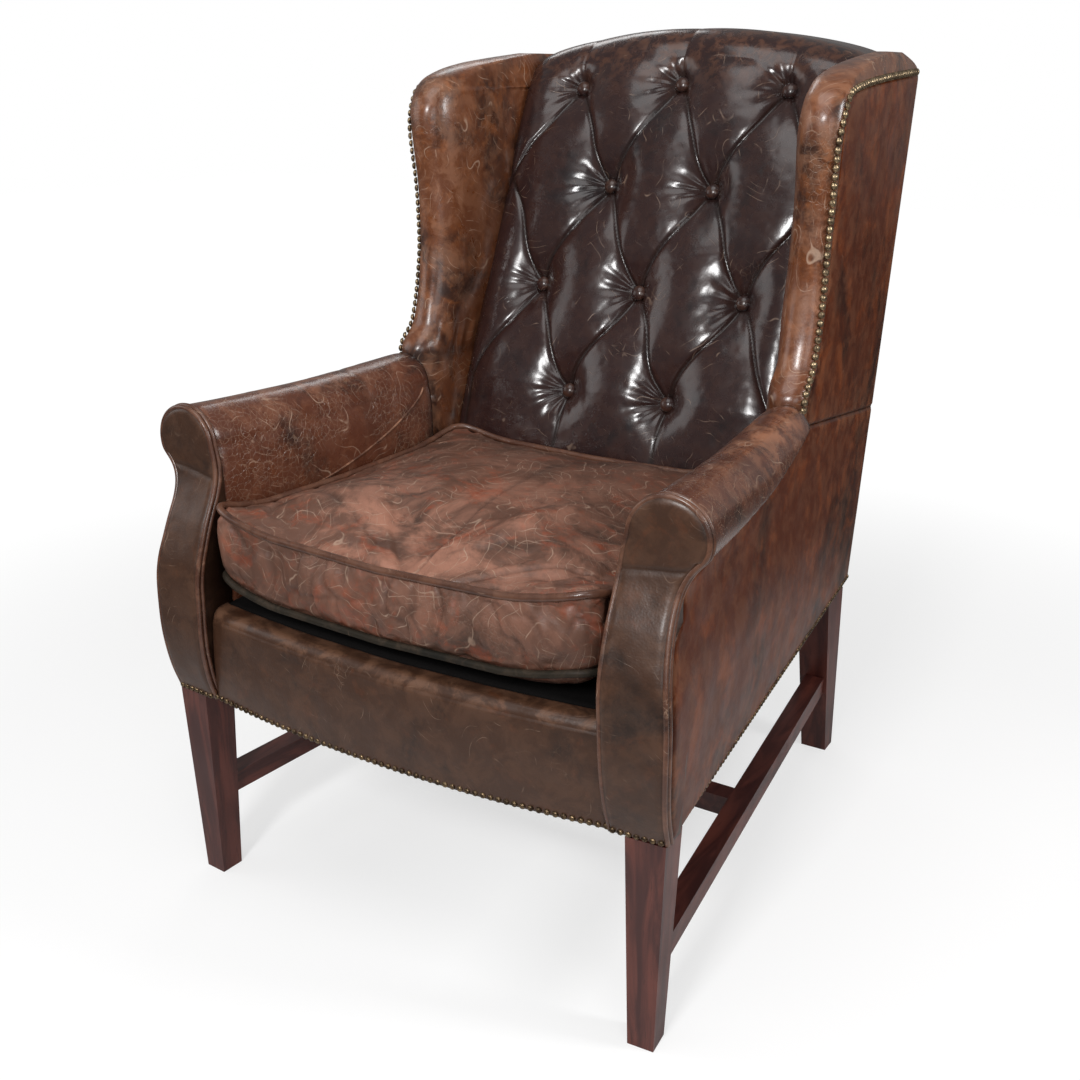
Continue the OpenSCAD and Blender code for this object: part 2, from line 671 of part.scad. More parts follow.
module wing_post() {
    color(beech) translate([wing_post_x, wing_post_y, arm_rail_top + seat_gap])
        cube([wing_frame_x - wing_post_x, post_w, crest_z - arm_rail_top - 2 * seat_gap]);
}

module wing_rail() {
    y0 = wing_y(crest_z + board_t) + wing_roll_d + 4 * seat_gap;
    y1 = crest_y0 - seat_gap;
    color(beech) raised(crest_z, board_t)
        polygon([[wing_post_x, y0], [wing_frame_x, y0],
            [side_x(y1, crest_z) - side_pad - seat_gap, y1], [wing_post_x, y1]]);
}

// The roll dies away towards the wing: it narrows, and the crease under its outer side rises
roll_end_angle = 25;
roll_end_share = 0.78;
crease_drop = 27;
function arm_run(y) = clamp01((y - arm_back_y) / (arm_end_y - arm_back_y));
function roll_dip(y) = arm_dip * sin(180 * arm_run(y));
function roll_end(y) = lerp(-roll_tuck, roll_end_angle, pow(arm_run(y), 1.5));
function crease_z(y) = roll_z - roll_dip(y) + roll_r * sin(roll_end(y))
    - crease_drop * (1 - 0.85 * arm_run(y));

// The inside of the arm and its scroll, one section carried from the front to the wing
module arm_pad() {
    inner_z = arm_rail_top + seat_gap;
    function face(y, share) = let (z = lerp(rail_top + seat_gap, roll_z - roll_dip(y), share))
        [arm_in_x(z) + arm_shift(y), y, z];
    function ring(y) = let (rail_x = side_x(y, arm_rail_z + board_t / 2) - side_pad - arm_step + seat_gap,
            inner_x = arm_inner_x - seat_gap + arm_shift(y), crease = crease_z(y),
            narrowed = lerp(1, roll_end_share, arm_run(y)))
        concat(
            [[inner_x, y, rail_top + seat_gap]],
            [for (share = [0, 0.4, 0.7, 0.9]) face(y, share)],
            [for (k = [0 : roll_steps]) let (a = 180 - k * (180 - roll_end(y)) / roll_steps)
                [roll_x + arm_shift(y) + roll_r * cos(a) * (cos(a) > 0 ? narrowed : 1), y,
                    roll_z - roll_dip(y) + roll_r * sin(a)]],
            [[side_x(y, crease), y, crease], [rail_x + soft_r, y, crease], [rail_x, y, inner_z],
                [inner_x, y, inner_z]]);
    color(leather_brown) loft([for (k = [0 : arm_rows])
        ring(lerp(arm_back_y + seat_gap, arm_end_y - seat_gap, k / arm_rows))]);
}

// The padded facing of an arm: serpentine in front view and in side view, with a softened edge
module arm_front() {
    n = 8;
    heights = concat([for (k = [0 : 4]) lerp(skirt_z, rail_top, k / 4)],
        [for (k = [0 : arm_front_rows])
            lerp(rail_top + seat_gap, arm_h - seat_gap, sin(90 * k / arm_front_rows))]);
    function x_at(j, z) = lerp(arm_in_x(z), arm_out_x(z), j / n);
    function soft(j) = pow(abs(2 * j / n - 1), 6);
    function back_y(j, z) = z > rail_top || j == n ? arm_back_y : leg_post_y - seat_gap;
    color(leather_grey) slab(
        [for (z = heights) [for (j = [0 : n])
            [x_at(j, z), arm_face_y(z) - arm_splay * (1 - j / n) + cover_t * soft(j), z]]],
        [for (z = heights) [for (j = [0 : n]) [x_at(j, z), back_y(j, z), z]]]);
}

// Thin covers over the outside of the arms and wings

seam_rear_z = arm_rail_z + arm_step;
seam_front_z = crease_z(arm_end_y);
seam_rear_y = rear_y(seam_rear_z);
function seam_z(y) = lerp(seam_front_z, seam_rear_z, (y - arm_end_y) / (seam_rear_y - arm_end_y));

module side_cover(lines) {
    color(leather_chestnut) slab(lines, [for (row = lines) [for (p = row) [p[0] - cover_t, p[1], p[2]]]]);
}

module outside_arm() {
    n = 12;
    rows = 12;
    y0 = arm_back_y + seat_gap;
    function top_z(y) = (y < arm_end_y ? crease_z(y) : seam_z(y)) - seat_gap;
    function at(j, i) = let (yt = lerp(y0, seam_rear_y, j / n), yb = lerp(y0, rear_y(skirt_z), j / n),
            y = lerp(yb, yt, i / rows), z = lerp(skirt_z, top_z(yt), i / rows))
        [side_x(y, z), y, z];
    side_cover([for (i = [0 : rows]) [for (j = [0 : n]) at(j, i)]]);
}

function nail_y(z) = wing_y(z) + wing_lip;
// The nails turn over the top of the wing's front and run on to the corner of the back
nail_top_z = corner_z - 2 * wing_lip;
nail_rear_z = corner_z - 2 * nail_r;
nail_turn_y = nail_y(nail_top_z);
nail_rear_y = rear_y(corner_z) - nail_r;
nail_power = 0.4;
function nail_run_z(y) = let (run = clamp01((y - nail_turn_y) / (nail_rear_y - nail_turn_y)))
    lerp(nail_top_z, nail_rear_z, pow(run, nail_power));
function nail_run_y(z) = let (rise = clamp01((z - nail_top_z) / (nail_rear_z - nail_top_z)))
    z < nail_top_z ? nail_y(z) : lerp(nail_turn_y, nail_rear_y, pow(rise, 1 / nail_power));

module outside_wing() {
    n = 8;
    rows = wing_rows;
    low_z = seam_front_z + arm_step;
    function low_y(j) = lerp(nail_y(low_z) + nail_r, seam_rear_y, j / n);
    function top_y(j) = lerp(nail_turn_y + nail_r, rear_y(corner_z), pow(j / n, 1.6));
    function at(j, i) = let (s = i / rows, z0 = seam_z(low_y(j)),
            z1 = nail_run_z(top_y(j)) - nail_r, z = lerp(z0, z1, s),
            front_z = lerp(seam_z(low_y(0)), nail_run_z(top_y(0)) - nail_r, s),
            front = nail_run_y(front_z) + nail_r + cover_t / 2,
            y = lerp(front, rear_y(z), lerp(j / n, (top_y(j) - top_y(0)) / (top_y(n) - top_y(0)), s)))
        [side_x(y, z), y, s == 0 ? seam_z(y) : z];
    side_cover([for (i = [0 : rows]) [for (j = [0 : n]) at(j, i)]]);
}

// The inside of a wing with its rolled front edge. The notch behind the roll holds the wing's frame
module wing_pad() {
    z0 = rail_top + seat_gap;
    notch_z = crest_z + board_t + seat_gap;
    low_z = arm_rail_top + seat_gap;
    heights = concat([z0, low_z],
        [for (k = [0 : wing_rows]) lerp(low_z + soft_r, notch_z, k / wing_rows)],
        [for (k = [0 : 6]) lerp(notch_z + soft_r, wing_top_z, sin(15 * k))]);
    n = 10;
    inset = cover_t + seat_gap;
    function ring(z) = let (
            open = z <= notch_z, covered = z <= seam_front_z, boxed = z <= low_z,
            t = clamp01((z - notch_z - soft_r) / (wing_top_z - notch_z)),
            shrink = (1 - sqrt(1 - t * t)) * wing_pad_t,
            y0 = wing_y(z), y1 = y0 + wing_roll_d, yn = nail_run_y(z),
            x0 = wing_in_x(z) + shrink / 2,
            rear = open ? max(min(tuft_y(z) + back_pad_t, crest_y0 - 2 * seat_gap), y1 + 4 * soft_r)
                : lerp(rear_y(min(z, corner_z)) - inset, y1 + wing_roll_d, 0.8 * pow(t, 6)),
            step_y = min(yn, rear - 2 * seat_gap) + nail_r - soft_r,
            wide = boxed ? x0 + wing_pad_t
                : side_x(covered ? step_y : y0 + wing_lip, z) - (covered ? inset : 0) - shrink,
            ry = open ? wing_lip : min(wing_lip, (rear - y0) / 3),
            back_x = open ? x0 + wing_pad_t : side_x(rear, z) - inset - shrink,
            outer = covered ? wide : side_x(step_y, z) - shrink,
            lip_y = min(step_y, (open ? y1 : rear) - 4 * soft_r),
            under_x = side_x(open ? y1 : lip_y + soft_r, z) - inset - shrink,
            boxed_ys = [lip_y, lip_y + soft_r, y1, y1 + soft_r, rear])
        concat([[x0, rear, z]],
            [for (k = [0 : n]) let (a = 180 * k / n)
                [(x0 + wide) / 2 - (wide - x0) / 2 * cos(a), y0 + ry - ry * sin(a), z]],
            boxed ? [for (y = boxed_ys) [wide - soft_r * pow((y - y1) / (rear - y1), 2), y, z]]
                : [[outer, lip_y, z], [under_x, lip_y + soft_r, z]],
            boxed ? [] : open ? [[under_x, y1, z], [back_x, y1 + soft_r, z], [back_x, rear, z]]
                : [for (k = [0 : 2]) let (c = 2 * soft_r)
                    [back_x - c + c * cos(45 * k), rear - c + c * sin(45 * k), z]]);
    color(leather_chestnut) loft([for (z = heights) ring(z)]);
}

// Domed nails along the outside of a wing, from the arm up and over to the corner of the back
module wing_nails() {
    step = nail_pitch / 8;
    low_z = seam_front_z + wing_lip;
    samples = floor((nail_top_z - low_z) / step);
    turns = 40;
    path = concat([for (k = [0 : samples]) let (z = low_z + k * step) [nail_y(z), z]],
        [for (k = [1 : turns]) let (y = lerp(nail_turn_y, nail_rear_y - wing_lip, pow(k / turns, 2)))
            [y, nail_run_z(y)]]);
    gaps = [for (k = [1 : len(path) - 1]) norm(path[k] - path[k - 1])];
    lengths = [for (k = 0, run = 0; k < len(path); run = run + (k < len(gaps) ? gaps[k] : 0), k = k + 1)
        run];
    along = [for (k = [0 : len(path) - 1]) [lengths[k], k]];
    color(brass) for (m = [0 : floor(lengths[len(lengths) - 1] / nail_pitch)]) {
        i = lookup(m * nail_pitch, along);
        a = min(floor(i), len(path) - 2);
        p = lerp(path[a], path[a + 1], i - a);
        translate([side_x(p[0], p[1]) + seat_gap, p[0], p[1]]) rotate([0, 90, 0]) nail_head();
    }
}

module nail_head() {
    rotate_extrude($fn = 24) intersection() {
        scale([1, 0.6]) circle(r = nail_r, $fn = 24);
        square(nail_r);
    }
}

// Inside back

function row_z(k) = button_top_z - k * button_row_pitch * button_cos;
// The buttons' columns fan out with the inside back
function button_x(column, z) = column * button_pitch * inside_x(z) / (inside_w_low / 2);
// Height of the padding over the button plane, from the place across and the distance above the top row
function tuft_h(x, s) = let (
        q = button_row_pitch, v = max(-(button_rows - 1), min(0, s / q)), u = x / button_pitch,
        a = abs(sin(180 * (u + v / 2))), b = abs(sin(180 * (u - v / 2))),
        over = max(0, s) / (2 * button_drop), under = clamp01((-s / q - button_rows + 1) / 0.6))
    lerp(lerp(pillow_h * (0.75 * pow(a * b, 0.55) + 0.25 * sqrt(max(a, b))), crest_edge, clamp01(over)),
        crest_edge, under);

module inside_back() {
    cell = button_pitch / 2 / tuft_cells;
    half = inside_w_low / 2;
    columns = floor((half - cell / 2) / cell);
    xs = concat([-1], [for (k = [-columns : columns]) k * cell / half], [1]);
    turn_z = back_top_z - crest_turn_r + crest_turn_r * sin(inside_rake);
    turn_s = (turn_z - button_top_z) / button_cos;
    centre_y = tuft_y(turn_z) + crest_turn_r * button_cos;
    low_s = (deck_z0 - button_top_z) / button_cos;
    row_step = button_row_pitch / 2 / tuft_cells;
    rows_down = floor(-low_s / row_step);
    runs = concat([low_s], [for (k = [rows_down : -1 : 0]) -k * row_step], [turn_s / 2, turn_s]);
    function edge(u) = 1 - 0.6 * pow(abs(u), 12);
    function arched(x, z) = arch_fall(x) * clamp01((z - button_top_z + button_drop) / (2 * button_drop));
    function point(u, y, z) = let (x = u * half, zz = z - arched(x, z)) [u * inside_x(zz), y, zz];
    function straight(u, s) = let (h = tuft_h(u * half, s) * edge(u), z = button_top_z + s * button_cos)
        point(u, tuft_y(z) - h * button_cos, z + h * sin(inside_rake));
    function turned(u, a) = point(u, centre_y - (crest_turn_r + crest_edge * edge(u)) * cos(a),
        back_top_z - crest_turn_r + (crest_turn_r + crest_edge * edge(u)) * sin(a));
    function rear_point(u, z, d) = let (zz = z - arch_fall(u * half))
        [u * inside_x(zz), rear_y(min(zz, back_top_z)) - side_pad - d, zz];
    front = concat([for (s = runs) [for (u = xs) straight(u, s)]],
        [for (k = [1 : turn_rows]) let (a = lerp(inside_rake, 90, turn_share * k / turn_rows))
            [for (u = xs) turned(u, a)]],
        [[for (u = xs) turned(u, 90)]],
        [[for (u = xs) rear_point(u, overall_h - crest_edge * (1 - edge(u)) - cover_t / 4, crest_edge)],
         [for (u = xs) rear_point(u, back_top_z, 0)]]);
    rail_y = crest_y0 - seat_gap;
    function under(u) = let (x = u * half) overall_h - back_pad_t + seat_gap - arch_fall(x);
    function flat(u, y, z) = [u * inside_x(z), y, z];
    back = [[for (u = xs) flat(u, tuft_y(deck_z0) + back_pad_t / button_cos, deck_z0)],
        [for (u = xs) flat(u, tuft_y(crest_z) + back_pad_t / button_cos, crest_z)],
        [for (u = xs) flat(u, rail_y, crest_z + seat_gap)],
        [for (u = xs) flat(u, rail_y, under(u))],
        [for (u = xs) flat(u, rear_y(under(u)) - side_pad, under(u))]];
    color(leather_dark) slab(front, back, true);
}

module back_buttons() {
    cell = button_pitch / 2 / tuft_cells;
    lift = tuft_h(cell, 0) * button_r / cell + 2 * seat_gap;
    color(leather_dark) for (k = [0 : button_rows - 1]) let (offset = k % 2 == 0 ? 0 : 0.5, z = row_z(k))
        for (m = [-1 : 1]) if (offset == 0 || m < 1)
            translate([button_x(m + offset, z), tuft_y(z) - lift * button_cos,
                    z + lift * sin(inside_rake) - (k == 0 ? arch_fall((m + offset) * button_pitch) / 2 : 0)])
                rotate([90 - inside_rake, 0, 0]) rotate_extrude($fn = 32) intersection() {
                    scale([1, 0.6]) circle(r = button_r, $fn = 32);
                    square(button_r);
                }
}

module outside_back() {
    steps = 16;
    low_x = rear_x(skirt_z) - seat_gap - cover_t;
    top_x = rear_x(corner_z) - seat_gap - cover_t;
    color(leather_chestnut) multmatrix([[1, 0, 0, 0], [0, 1, rear_slope, rear_y(0)], [0, 0, 1, 0]])
        rotate([90, 0, 0]) linear_extrude(cover_t)
            polygon(concat([[-low_x, skirt_z], [low_x, skirt_z]],
                [for (k = [0 : steps]) let (x = lerp(top_x, -top_x, k / steps))
                    [x, back_top_z - arch_fall(x)]]));
}

// Cushion

seam_rise = 20;
corner_rise = 28;
cushion_front_y = front_y + crest_edge - arm_step;
cushion_front_w = 2 * (waist_x - cushion_play);
cushion_rear_w = inside_w_low - 2 * cushion_rear_play;
cushion_d = tuft_y(cushion_z) - cushion_back_play - cushion_front_y;
cushion_lean = boxing_h * inside_slope * lean_share;
cushion_bow = bow_d / 2;
bulge = 7;
fold_pitch = 158;
corner_power = 0.13;

// Outline of the cushion: a squared oval, wider in front, with a bowed front and slightly drawn-in sides
function squared(c) = sign(c) * pow(abs(c), corner_power);
function oval(a) = [squared(cos(a)), squared(sin(a))];
function cushion_point(a, out, share, z, lean) = let (
        o = oval(a) * share, v = (o[1] + 1) / 2,
        half = lerp(cushion_front_w, cushion_rear_w, v) / 2 * (1 - 0.012 * (1 - o[1] * o[1])),
        n = [cos(a), sin(a)] * out,
        y = lerp(cushion_front_y + cushion_bow, cushion_front_y + cushion_d, v)
            - cushion_bow * (1 - o[0] * o[0]) * (1 - v))
    [o[0] * half + n[0], y + n[1] + lean * max(0, o[1]), z + corner_rise * pow(o[0] * o[1], 4)];

function cushion_ring(share, out, z, lean) =
    [for (k = [0 : cushion_steps - 1]) cushion_point(360 * k / cushion_steps, out, share, z, lean)];
// Slanting folds where the leather has stretched, as a share of their height
function crumple(x, y) = sin((x + 0.4 * y) * 360 / fold_pitch) * sin((y + 0.44 * x) * 180 / fold_pitch);

module seat_cushion() {
    low = cushion_z + seam_rise;
    high = low + boxing_h;
    top_shares = [0.95, 0.84, 0.68, 0.5, 0.3, 0.12];
    function top_ring(s) = [for (p = cushion_ring(s, 0, high, cushion_lean))
        [p[0], p[1], p[2] + cushion_crown * (1 - pow(s, 2.2))
            + cover_t * (1 - s * s) * crumple(p[0], p[1]) / 2]];
    color(leather_brown) loft(concat(
        [for (s = [0.3, 0.8]) cushion_ring(s, 0, cushion_z, 0)],
        [cushion_ring(0.96, 0, cushion_z + seam_rise / 3, 0),
         cushion_ring(1, -welt_r, low - welt_r, 0),
         cushion_ring(1, -welt_r, low + welt_r, 0),
         cushion_ring(1, bulge / 2, low + 2 * welt_r + seat_gap, cushion_lean / 8),
         cushion_ring(1, bulge, (low + high) / 2, cushion_lean / 2),
         cushion_ring(1, bulge / 2, high - 2 * welt_r - seat_gap, cushion_lean * 7 / 8),
         cushion_ring(1, -welt_r, high - welt_r, cushion_lean),
         cushion_ring(1, -welt_r, high, cushion_lean)],
        [for (s = top_shares) top_ring(s)]));
}

module cushion_welt(z, lean) {
    sides = 6;
    color(leather_brown) ring_loft([for (k = [0 : cushion_steps - 1]) let (a = 360 * k / cushion_steps,
            p = cushion_point(a, seat_gap, 1, z, lean), d = [cos(a), sin(a)])
        [for (j = [0 : sides - 1]) let (b = 360 * j / sides)
            [p[0] + d[0] * welt_r * cos(b), p[1] + d[1] * welt_r * cos(b), p[2] + welt_r * sin(b)]]]);
}

module cushion_welt_top() {
    cushion_welt(cushion_z + seam_rise + boxing_h, cushion_lean);
}

module cushion_welt_bottom() {
    cushion_welt(cushion_z + seam_rise, 0);
}

mirrored() front_leg();  // front_leg_left
front_leg();  // front_leg_right
mirrored() back_leg();  // back_leg_left
back_leg();  // back_leg_right
mirrored() side_stretcher();  // side_stretcher_left
side_stretcher();  // side_stretcher_right
cross_stretcher();
front_seat_rail();
back_seat_rail();
inner_back_rail();
mirrored() side_seat_rail();  // side_seat_rail_left
side_seat_rail();  // side_seat_rail_right
corner_blocks();
mirrored() back_post();  // back_post_left
back_post();  // back_post_right
mirrored() back_stile();  // back_stile_left
back_stile();  // back_stile_right
crest_rail();
mirrored() wing_post();  // wing_post_left
wing_post();  // wing_post_right
mirrored() wing_rail();  // wing_rail_left
wing_rail();  // wing_rail_right
mirrored() arm_rail();  // arm_rail_left
arm_rail();  // arm_rail_right
mirrored() arm_stump();  // arm_stump_left
arm_stump();  // arm_stump_right
back_webbing();
seat_springs();
seat_deck();
dust_cover();
front_rail_cover();
mirrored() arm_pad();  // arm_pad_left
arm_pad();  // arm_pad_right
mirrored() arm_front();  // arm_front_left
arm_front();  // arm_front_right
mirrored() outside_arm();  // outside_arm_left
outside_arm();  // outside_arm_right
mirrored() wing_pad();  // wing_pad_left
wing_pad();  // wing_pad_right
mirrored() outside_wing();  // outside_wing_left
outside_wing();  // outside_wing_right
mirrored() wing_nails();  // wing_nails_left
wing_nails();  // wing_nails_right
inside_back();
back_buttons();
outside_back();
seat_cushion();
cushion_welt_top();
cushion_welt_bottom();
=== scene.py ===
import math
import bpy
import numpy as np
from mathutils import Matrix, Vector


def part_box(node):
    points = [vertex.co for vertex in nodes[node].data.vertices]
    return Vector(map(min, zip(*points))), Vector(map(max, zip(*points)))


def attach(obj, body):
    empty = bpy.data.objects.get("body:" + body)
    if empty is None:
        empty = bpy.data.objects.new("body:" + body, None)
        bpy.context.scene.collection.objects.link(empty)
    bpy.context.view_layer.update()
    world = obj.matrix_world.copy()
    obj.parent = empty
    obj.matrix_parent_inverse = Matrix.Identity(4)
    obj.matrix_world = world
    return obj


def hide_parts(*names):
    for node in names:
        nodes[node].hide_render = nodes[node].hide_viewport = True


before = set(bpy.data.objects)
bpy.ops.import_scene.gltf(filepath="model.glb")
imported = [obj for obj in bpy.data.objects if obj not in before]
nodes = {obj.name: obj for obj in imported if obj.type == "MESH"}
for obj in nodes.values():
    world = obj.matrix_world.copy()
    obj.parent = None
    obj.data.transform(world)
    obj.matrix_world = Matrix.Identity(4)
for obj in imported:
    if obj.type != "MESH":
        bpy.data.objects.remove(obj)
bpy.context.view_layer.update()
mm = 0.001
print("frame loaded:", len(nodes), "nodes")

# Measures of the chair in mm, the same as the construction model's
chair = {
    "height": 1095, "depth": 915, "skirt": 277, "crestArch": 48, "backTopWidth": 582,
    "seatFront": 706, "seatRear": 545, "railWidth": 574, "bow": 24, "railHeight": 127, "railPad": 14,
    "armHeight": 652, "armOver": 744, "roll": 44, "waist": 66, "belly": 21, "rollBack": 25,
    "rake": 23, "rearRake": 4.2, "insideLow": 504, "insideTop": 518, "padDepth": 34,
    "pillow": 30, "pitch": 158, "rowPitch": 152, "buttonRows": 4,
    "wingPad": 18, "nail": 4.6, "cover": 5, "gap": 0.3,
}

frontY = -chair["depth"] / 2
rearTopY = chair["depth"] / 2
skirtZ = chair["skirt"]
rearSlope = math.tan(math.radians(chair["rearRake"]))
insideSlope = math.tan(math.radians(chair["rake"]))
buttonCos = math.cos(math.radians(chair["rake"]))
buttonSin = math.sin(math.radians(chair["rake"]))
cornerZ = chair["height"] - chair["crestArch"]
backTopZ = chair["height"] - 12
buttonTopZ = chair["height"] - 76
gap = chair["gap"]
footY = frontY + chair["bow"] + 3
bowRadius = ((chair["railWidth"] / 2) ** 2 + chair["bow"] ** 2) / (2 * chair["bow"])
archRadius = ((chair["backTopWidth"] / 2) ** 2 + chair["crestArch"] ** 2) / (2 * chair["crestArch"])
armBackY = footY + chair["rollBack"] + 2 * chair["cover"]
armEndY = 0
rollX = chair["armOver"] / 2 - chair["roll"]
rollZ = chair["armHeight"] - chair["roll"]
rollLowZ = rollZ - chair["roll"] * math.sin(math.radians(26))
deckZ = skirtZ + chair["railHeight"] + 10
railTop = skirtZ + 79
crestZ = cornerZ - chair["padDepth"] - 30
seatOut = (chair["armOver"] - chair["seatFront"]) / 2
waistX = chair["seatFront"] / 2 - seatOut / 2 - chair["waist"]
armTaper = (rollX - chair["roll"] - chair["insideLow"] / 2) / (armEndY - armBackY)


def blendTo(a, b, t):
    return a + (b - a) * t


def unit(t):
    return np.clip(t, 0.0, 1.0)


def ease(t):
    t = unit(t)
    return t * t * (3 - 2 * t)


# A smooth curve through a table of (place, value): cubic pieces whose slope at a point is the mean of its two
# neighbours' slopes, and level where the values turn back
def smoothTable(table, at):
    xs, ys = np.array(table, float).T
    steps = np.diff(ys) / np.diff(xs)
    slopes = np.concatenate([[steps[0]],
                             np.where(steps[:-1] * steps[1:] > 0, (steps[:-1] + steps[1:]) / 2, 0),
                             [steps[-1]]])
    at = np.clip(np.asarray(at, float), xs[0], xs[-1])
    k = np.clip(np.searchsorted(xs, at, side="right") - 1, 0, len(xs) - 2)
    h = xs[k + 1] - xs[k]
    t = (at - xs[k]) / h
    return (ys[k] * (1 + 2 * t) * (1 - t) ** 2 + slopes[k] * h * t * (1 - t) ** 2
            + ys[k + 1] * t * t * (3 - 2 * t) + slopes[k + 1] * h * t * t * (t - 1))


# Smooth random values from -1 to 1: a random number at each corner of a cubic lattice of the given size,
# blended with the cube of the distance between them
def softNoise(points, size, seed=0):
    q = np.asarray(points, float) / np.asarray(size, float)
    base = np.floor(q).astype(np.int64)
    f = q - base
    f = f * f * (3 - 2 * f)
    total = np.zeros(q.shape[:-1])
    for corner in range(8):
        o = np.array([corner & 1, corner >> 1 & 1, corner >> 2 & 1])
        c = base + o
        h = (c[..., 0] * 73856093 ^ c[..., 1] * 19349663 ^ c[..., 2]
             * 83492791 ^ (seed * 97531 + 12345)) & 0xFFFFFFFF
        h = (h ^ h >> 13) * 1274126177 & 0xFFFFFFFF
        h = (h ^ h >> 16) & 0xFFFF
        total = total + (h / 32767.5 - 1) * np.prod(np.where(o == 1, f, 1 - f), axis=-1)
    return total


# Creases: a groove along the lines where smooth noise passes through zero, e^-(noise / width)^2
def creases(points, size, width, seed):
    return np.exp(-(softNoise(points, size, seed) / width) ** 2)


def rearY(z):
    return rearTopY - (backTopZ - z) * rearSlope


def rearX(z):
    spread = (chair["backTopWidth"] - chair["seatRear"]) / 2
    return chair["seatRear"] / 2 + (z - skirtZ) * spread / (cornerZ - skirtZ)


def tuftY(z):
    return -30 + (z - skirtZ) * insideSlope


def bowY(x):
    return frontY + bowRadius - np.sqrt(bowRadius ** 2 - x * x)


def archFall(x):
    return archRadius - np.sqrt(np.maximum(0, archRadius ** 2 - x * x))


def insideX(z):
    return blendTo(chair["insideLow"], chair["insideTop"], (z - deckZ) / (chair["height"] - deckZ)) / 2


armOutTable = [(0, 0), (0.09, 0.05), (0.27, 0.15), (0.40, 0.10), (0.48, -0.05), (0.59, -0.35), (0.70, -0.50),
               (0.77, -0.25), (0.83, 0.45)]
armForwardTable = [(0, 0), (0.09, 0.55), (0.20, 0.9), (0.30, 1), (0.42, 1), (0.50, 0.85), (0.58, 0.4),
                   (0.64, 0), (0.70, -0.45), (0.78, -0.9), (0.86, -1), (1, -1)]
armInTable = [(0, -0.4), (0.2, 0), (0.4, 0.5), (0.6, 0.9), (0.75, 1), (0.84, 0.55), (0.88, 0)]
wingReachTable = [(0.7, 0.973), (0.85, 0.98), (1.25, 0.975), (1.47, 0.965), (1.7, 0.975), (1.9, 0.99),
                  (2.3, 1)]
wingFrontTable = [(-1, 0), (0, 0), (0.03, 0.1), (0.08, 0.48), (0.15, 0.7), (0.23, 0.85), (0.34, 0.98),
                  (0.45, 1), (0.6, 0.98), (0.72, 0.88), (0.8, 0.84), (0.86, 0.9), (0.92, 1.2), (0.96, 1.75),
                  (1, 3.1), (1.02, 4.4), (1.04, 6)]


def armShare(z):
    return (z - skirtZ) / (chair["armHeight"] - skirtZ)


def armFaceY(z):
    s = smoothTable(armForwardTable, armShare(z))
    return footY - s * np.where(s > 0, chair["belly"], chair["rollBack"])


def rollHalf(z):
    return np.sqrt(np.maximum(0, chair["roll"] ** 2 - (z - rollZ) ** 2))


def armOutX(z):
    return np.where(z > rollLowZ, rollX + rollHalf(z),
                    chair["seatFront"] / 2 + smoothTable(armOutTable, armShare(z)) * seatOut)


def armInX(z):
    return np.where(z > rollZ, rollX - rollHalf(z),
                    blendTo(rollX - chair["roll"], waistX, smoothTable(armInTable, armShare(z))))


# The outer face of the sides is straight in plan from the arm front to the corner of the outside back
def sideFrontX(z):
    low = chair["seatFront"] / 2 + smoothTable(armOutTable, np.minimum(armShare(z), 0.7)) * seatOut
    high = chair["seatFront"] / 2 * smoothTable(wingReachTable, armShare(z))
    return np.where(armShare(z) < 0.7, low, high)


def sideX(y, z):
    return blendTo(sideFrontX(z), rearX(z), (y - footY) / (rearY(z) - footY))


def armShift(y):
    return -armTaper * (y - armBackY)


def armRun(y):
    return unit((y - armBackY) / (armEndY - armBackY))


def rollDip(y):
    return 6 * np.sin(np.pi * armRun(y))


def rollEnd(y):
    return blendTo(-26, 25, armRun(y) ** 1.5)


def creaseZ(y):
    return rollZ - rollDip(y) + chair["roll"] * np.sin(np.radians(rollEnd(y))) - 27 * (1 - 0.85 * armRun(y))


wingLip = 20
wingReach = 50
seamFrontZ = float(creaseZ(np.array(0.0)))
seamRearZ = rollLowZ - 6 - 0.3 - 30 + 3
seamRearY = rearY(seamRearZ)
nailTopZ = cornerZ - 2 * wingLip
nailRearZ = cornerZ - 2 * chair["nail"]


def seamZ(y):
    return blendTo(seamFrontZ, seamRearZ, (y - armEndY) / (seamRearY - armEndY))


def wingY(z):
    return armEndY + gap + wingReach * smoothTable(wingFrontTable,
                                                   (z - chair["armHeight"]) / (cornerZ - chair["armHeight"]))


def nailY(z):
    return wingY(z) + wingLip


nailTurnY = float(nailY(np.array(float(nailTopZ))))
nailEndY = rearY(cornerZ) - chair["nail"]


def nailRunZ(y):
    return blendTo(nailTopZ, nailRearZ, unit((y - nailTurnY) / (nailEndY - nailTurnY)) ** 0.4)


def nailRunY(z):
    rise = unit((z - nailTopZ) / (nailRearZ - nailTopZ))
    return np.where(z < nailTopZ, nailY(z), blendTo(nailTurnY, nailEndY, rise ** 2.5))


# A closed mesh from points in mm and faces, which are turned outwards by the sign of its volume: the sum over
# its triangles of the triple product of their corners
def addMesh(name, points, faces, material):
    points = np.asarray(points, float).reshape(-1, 3) * mm
    faces = [tuple(f) for f in faces]
    tris = np.array([(f[0], f[k], f[k + 1]) for f in faces for k in range(1, len(f) - 1)])
    a, b, c = points[tris[:, 0]], points[tris[:, 1]], points[tris[:, 2]]
    if np.einsum("ij,ij->i", a, np.cross(b, c)).sum() < 0:
        faces = [f[::-1] for f in faces]
    mesh = bpy.data.meshes.new(name)
    mesh.from_pydata(points.tolist(), [], faces)
    mesh.polygons.foreach_set("use_smooth", np.full(len(faces), True))
    mesh.update()
    piece = bpy.data.objects.new(name, mesh)
    bpy.context.scene.collection.objects.link(piece)
    mesh.materials.append(material)
    return piece


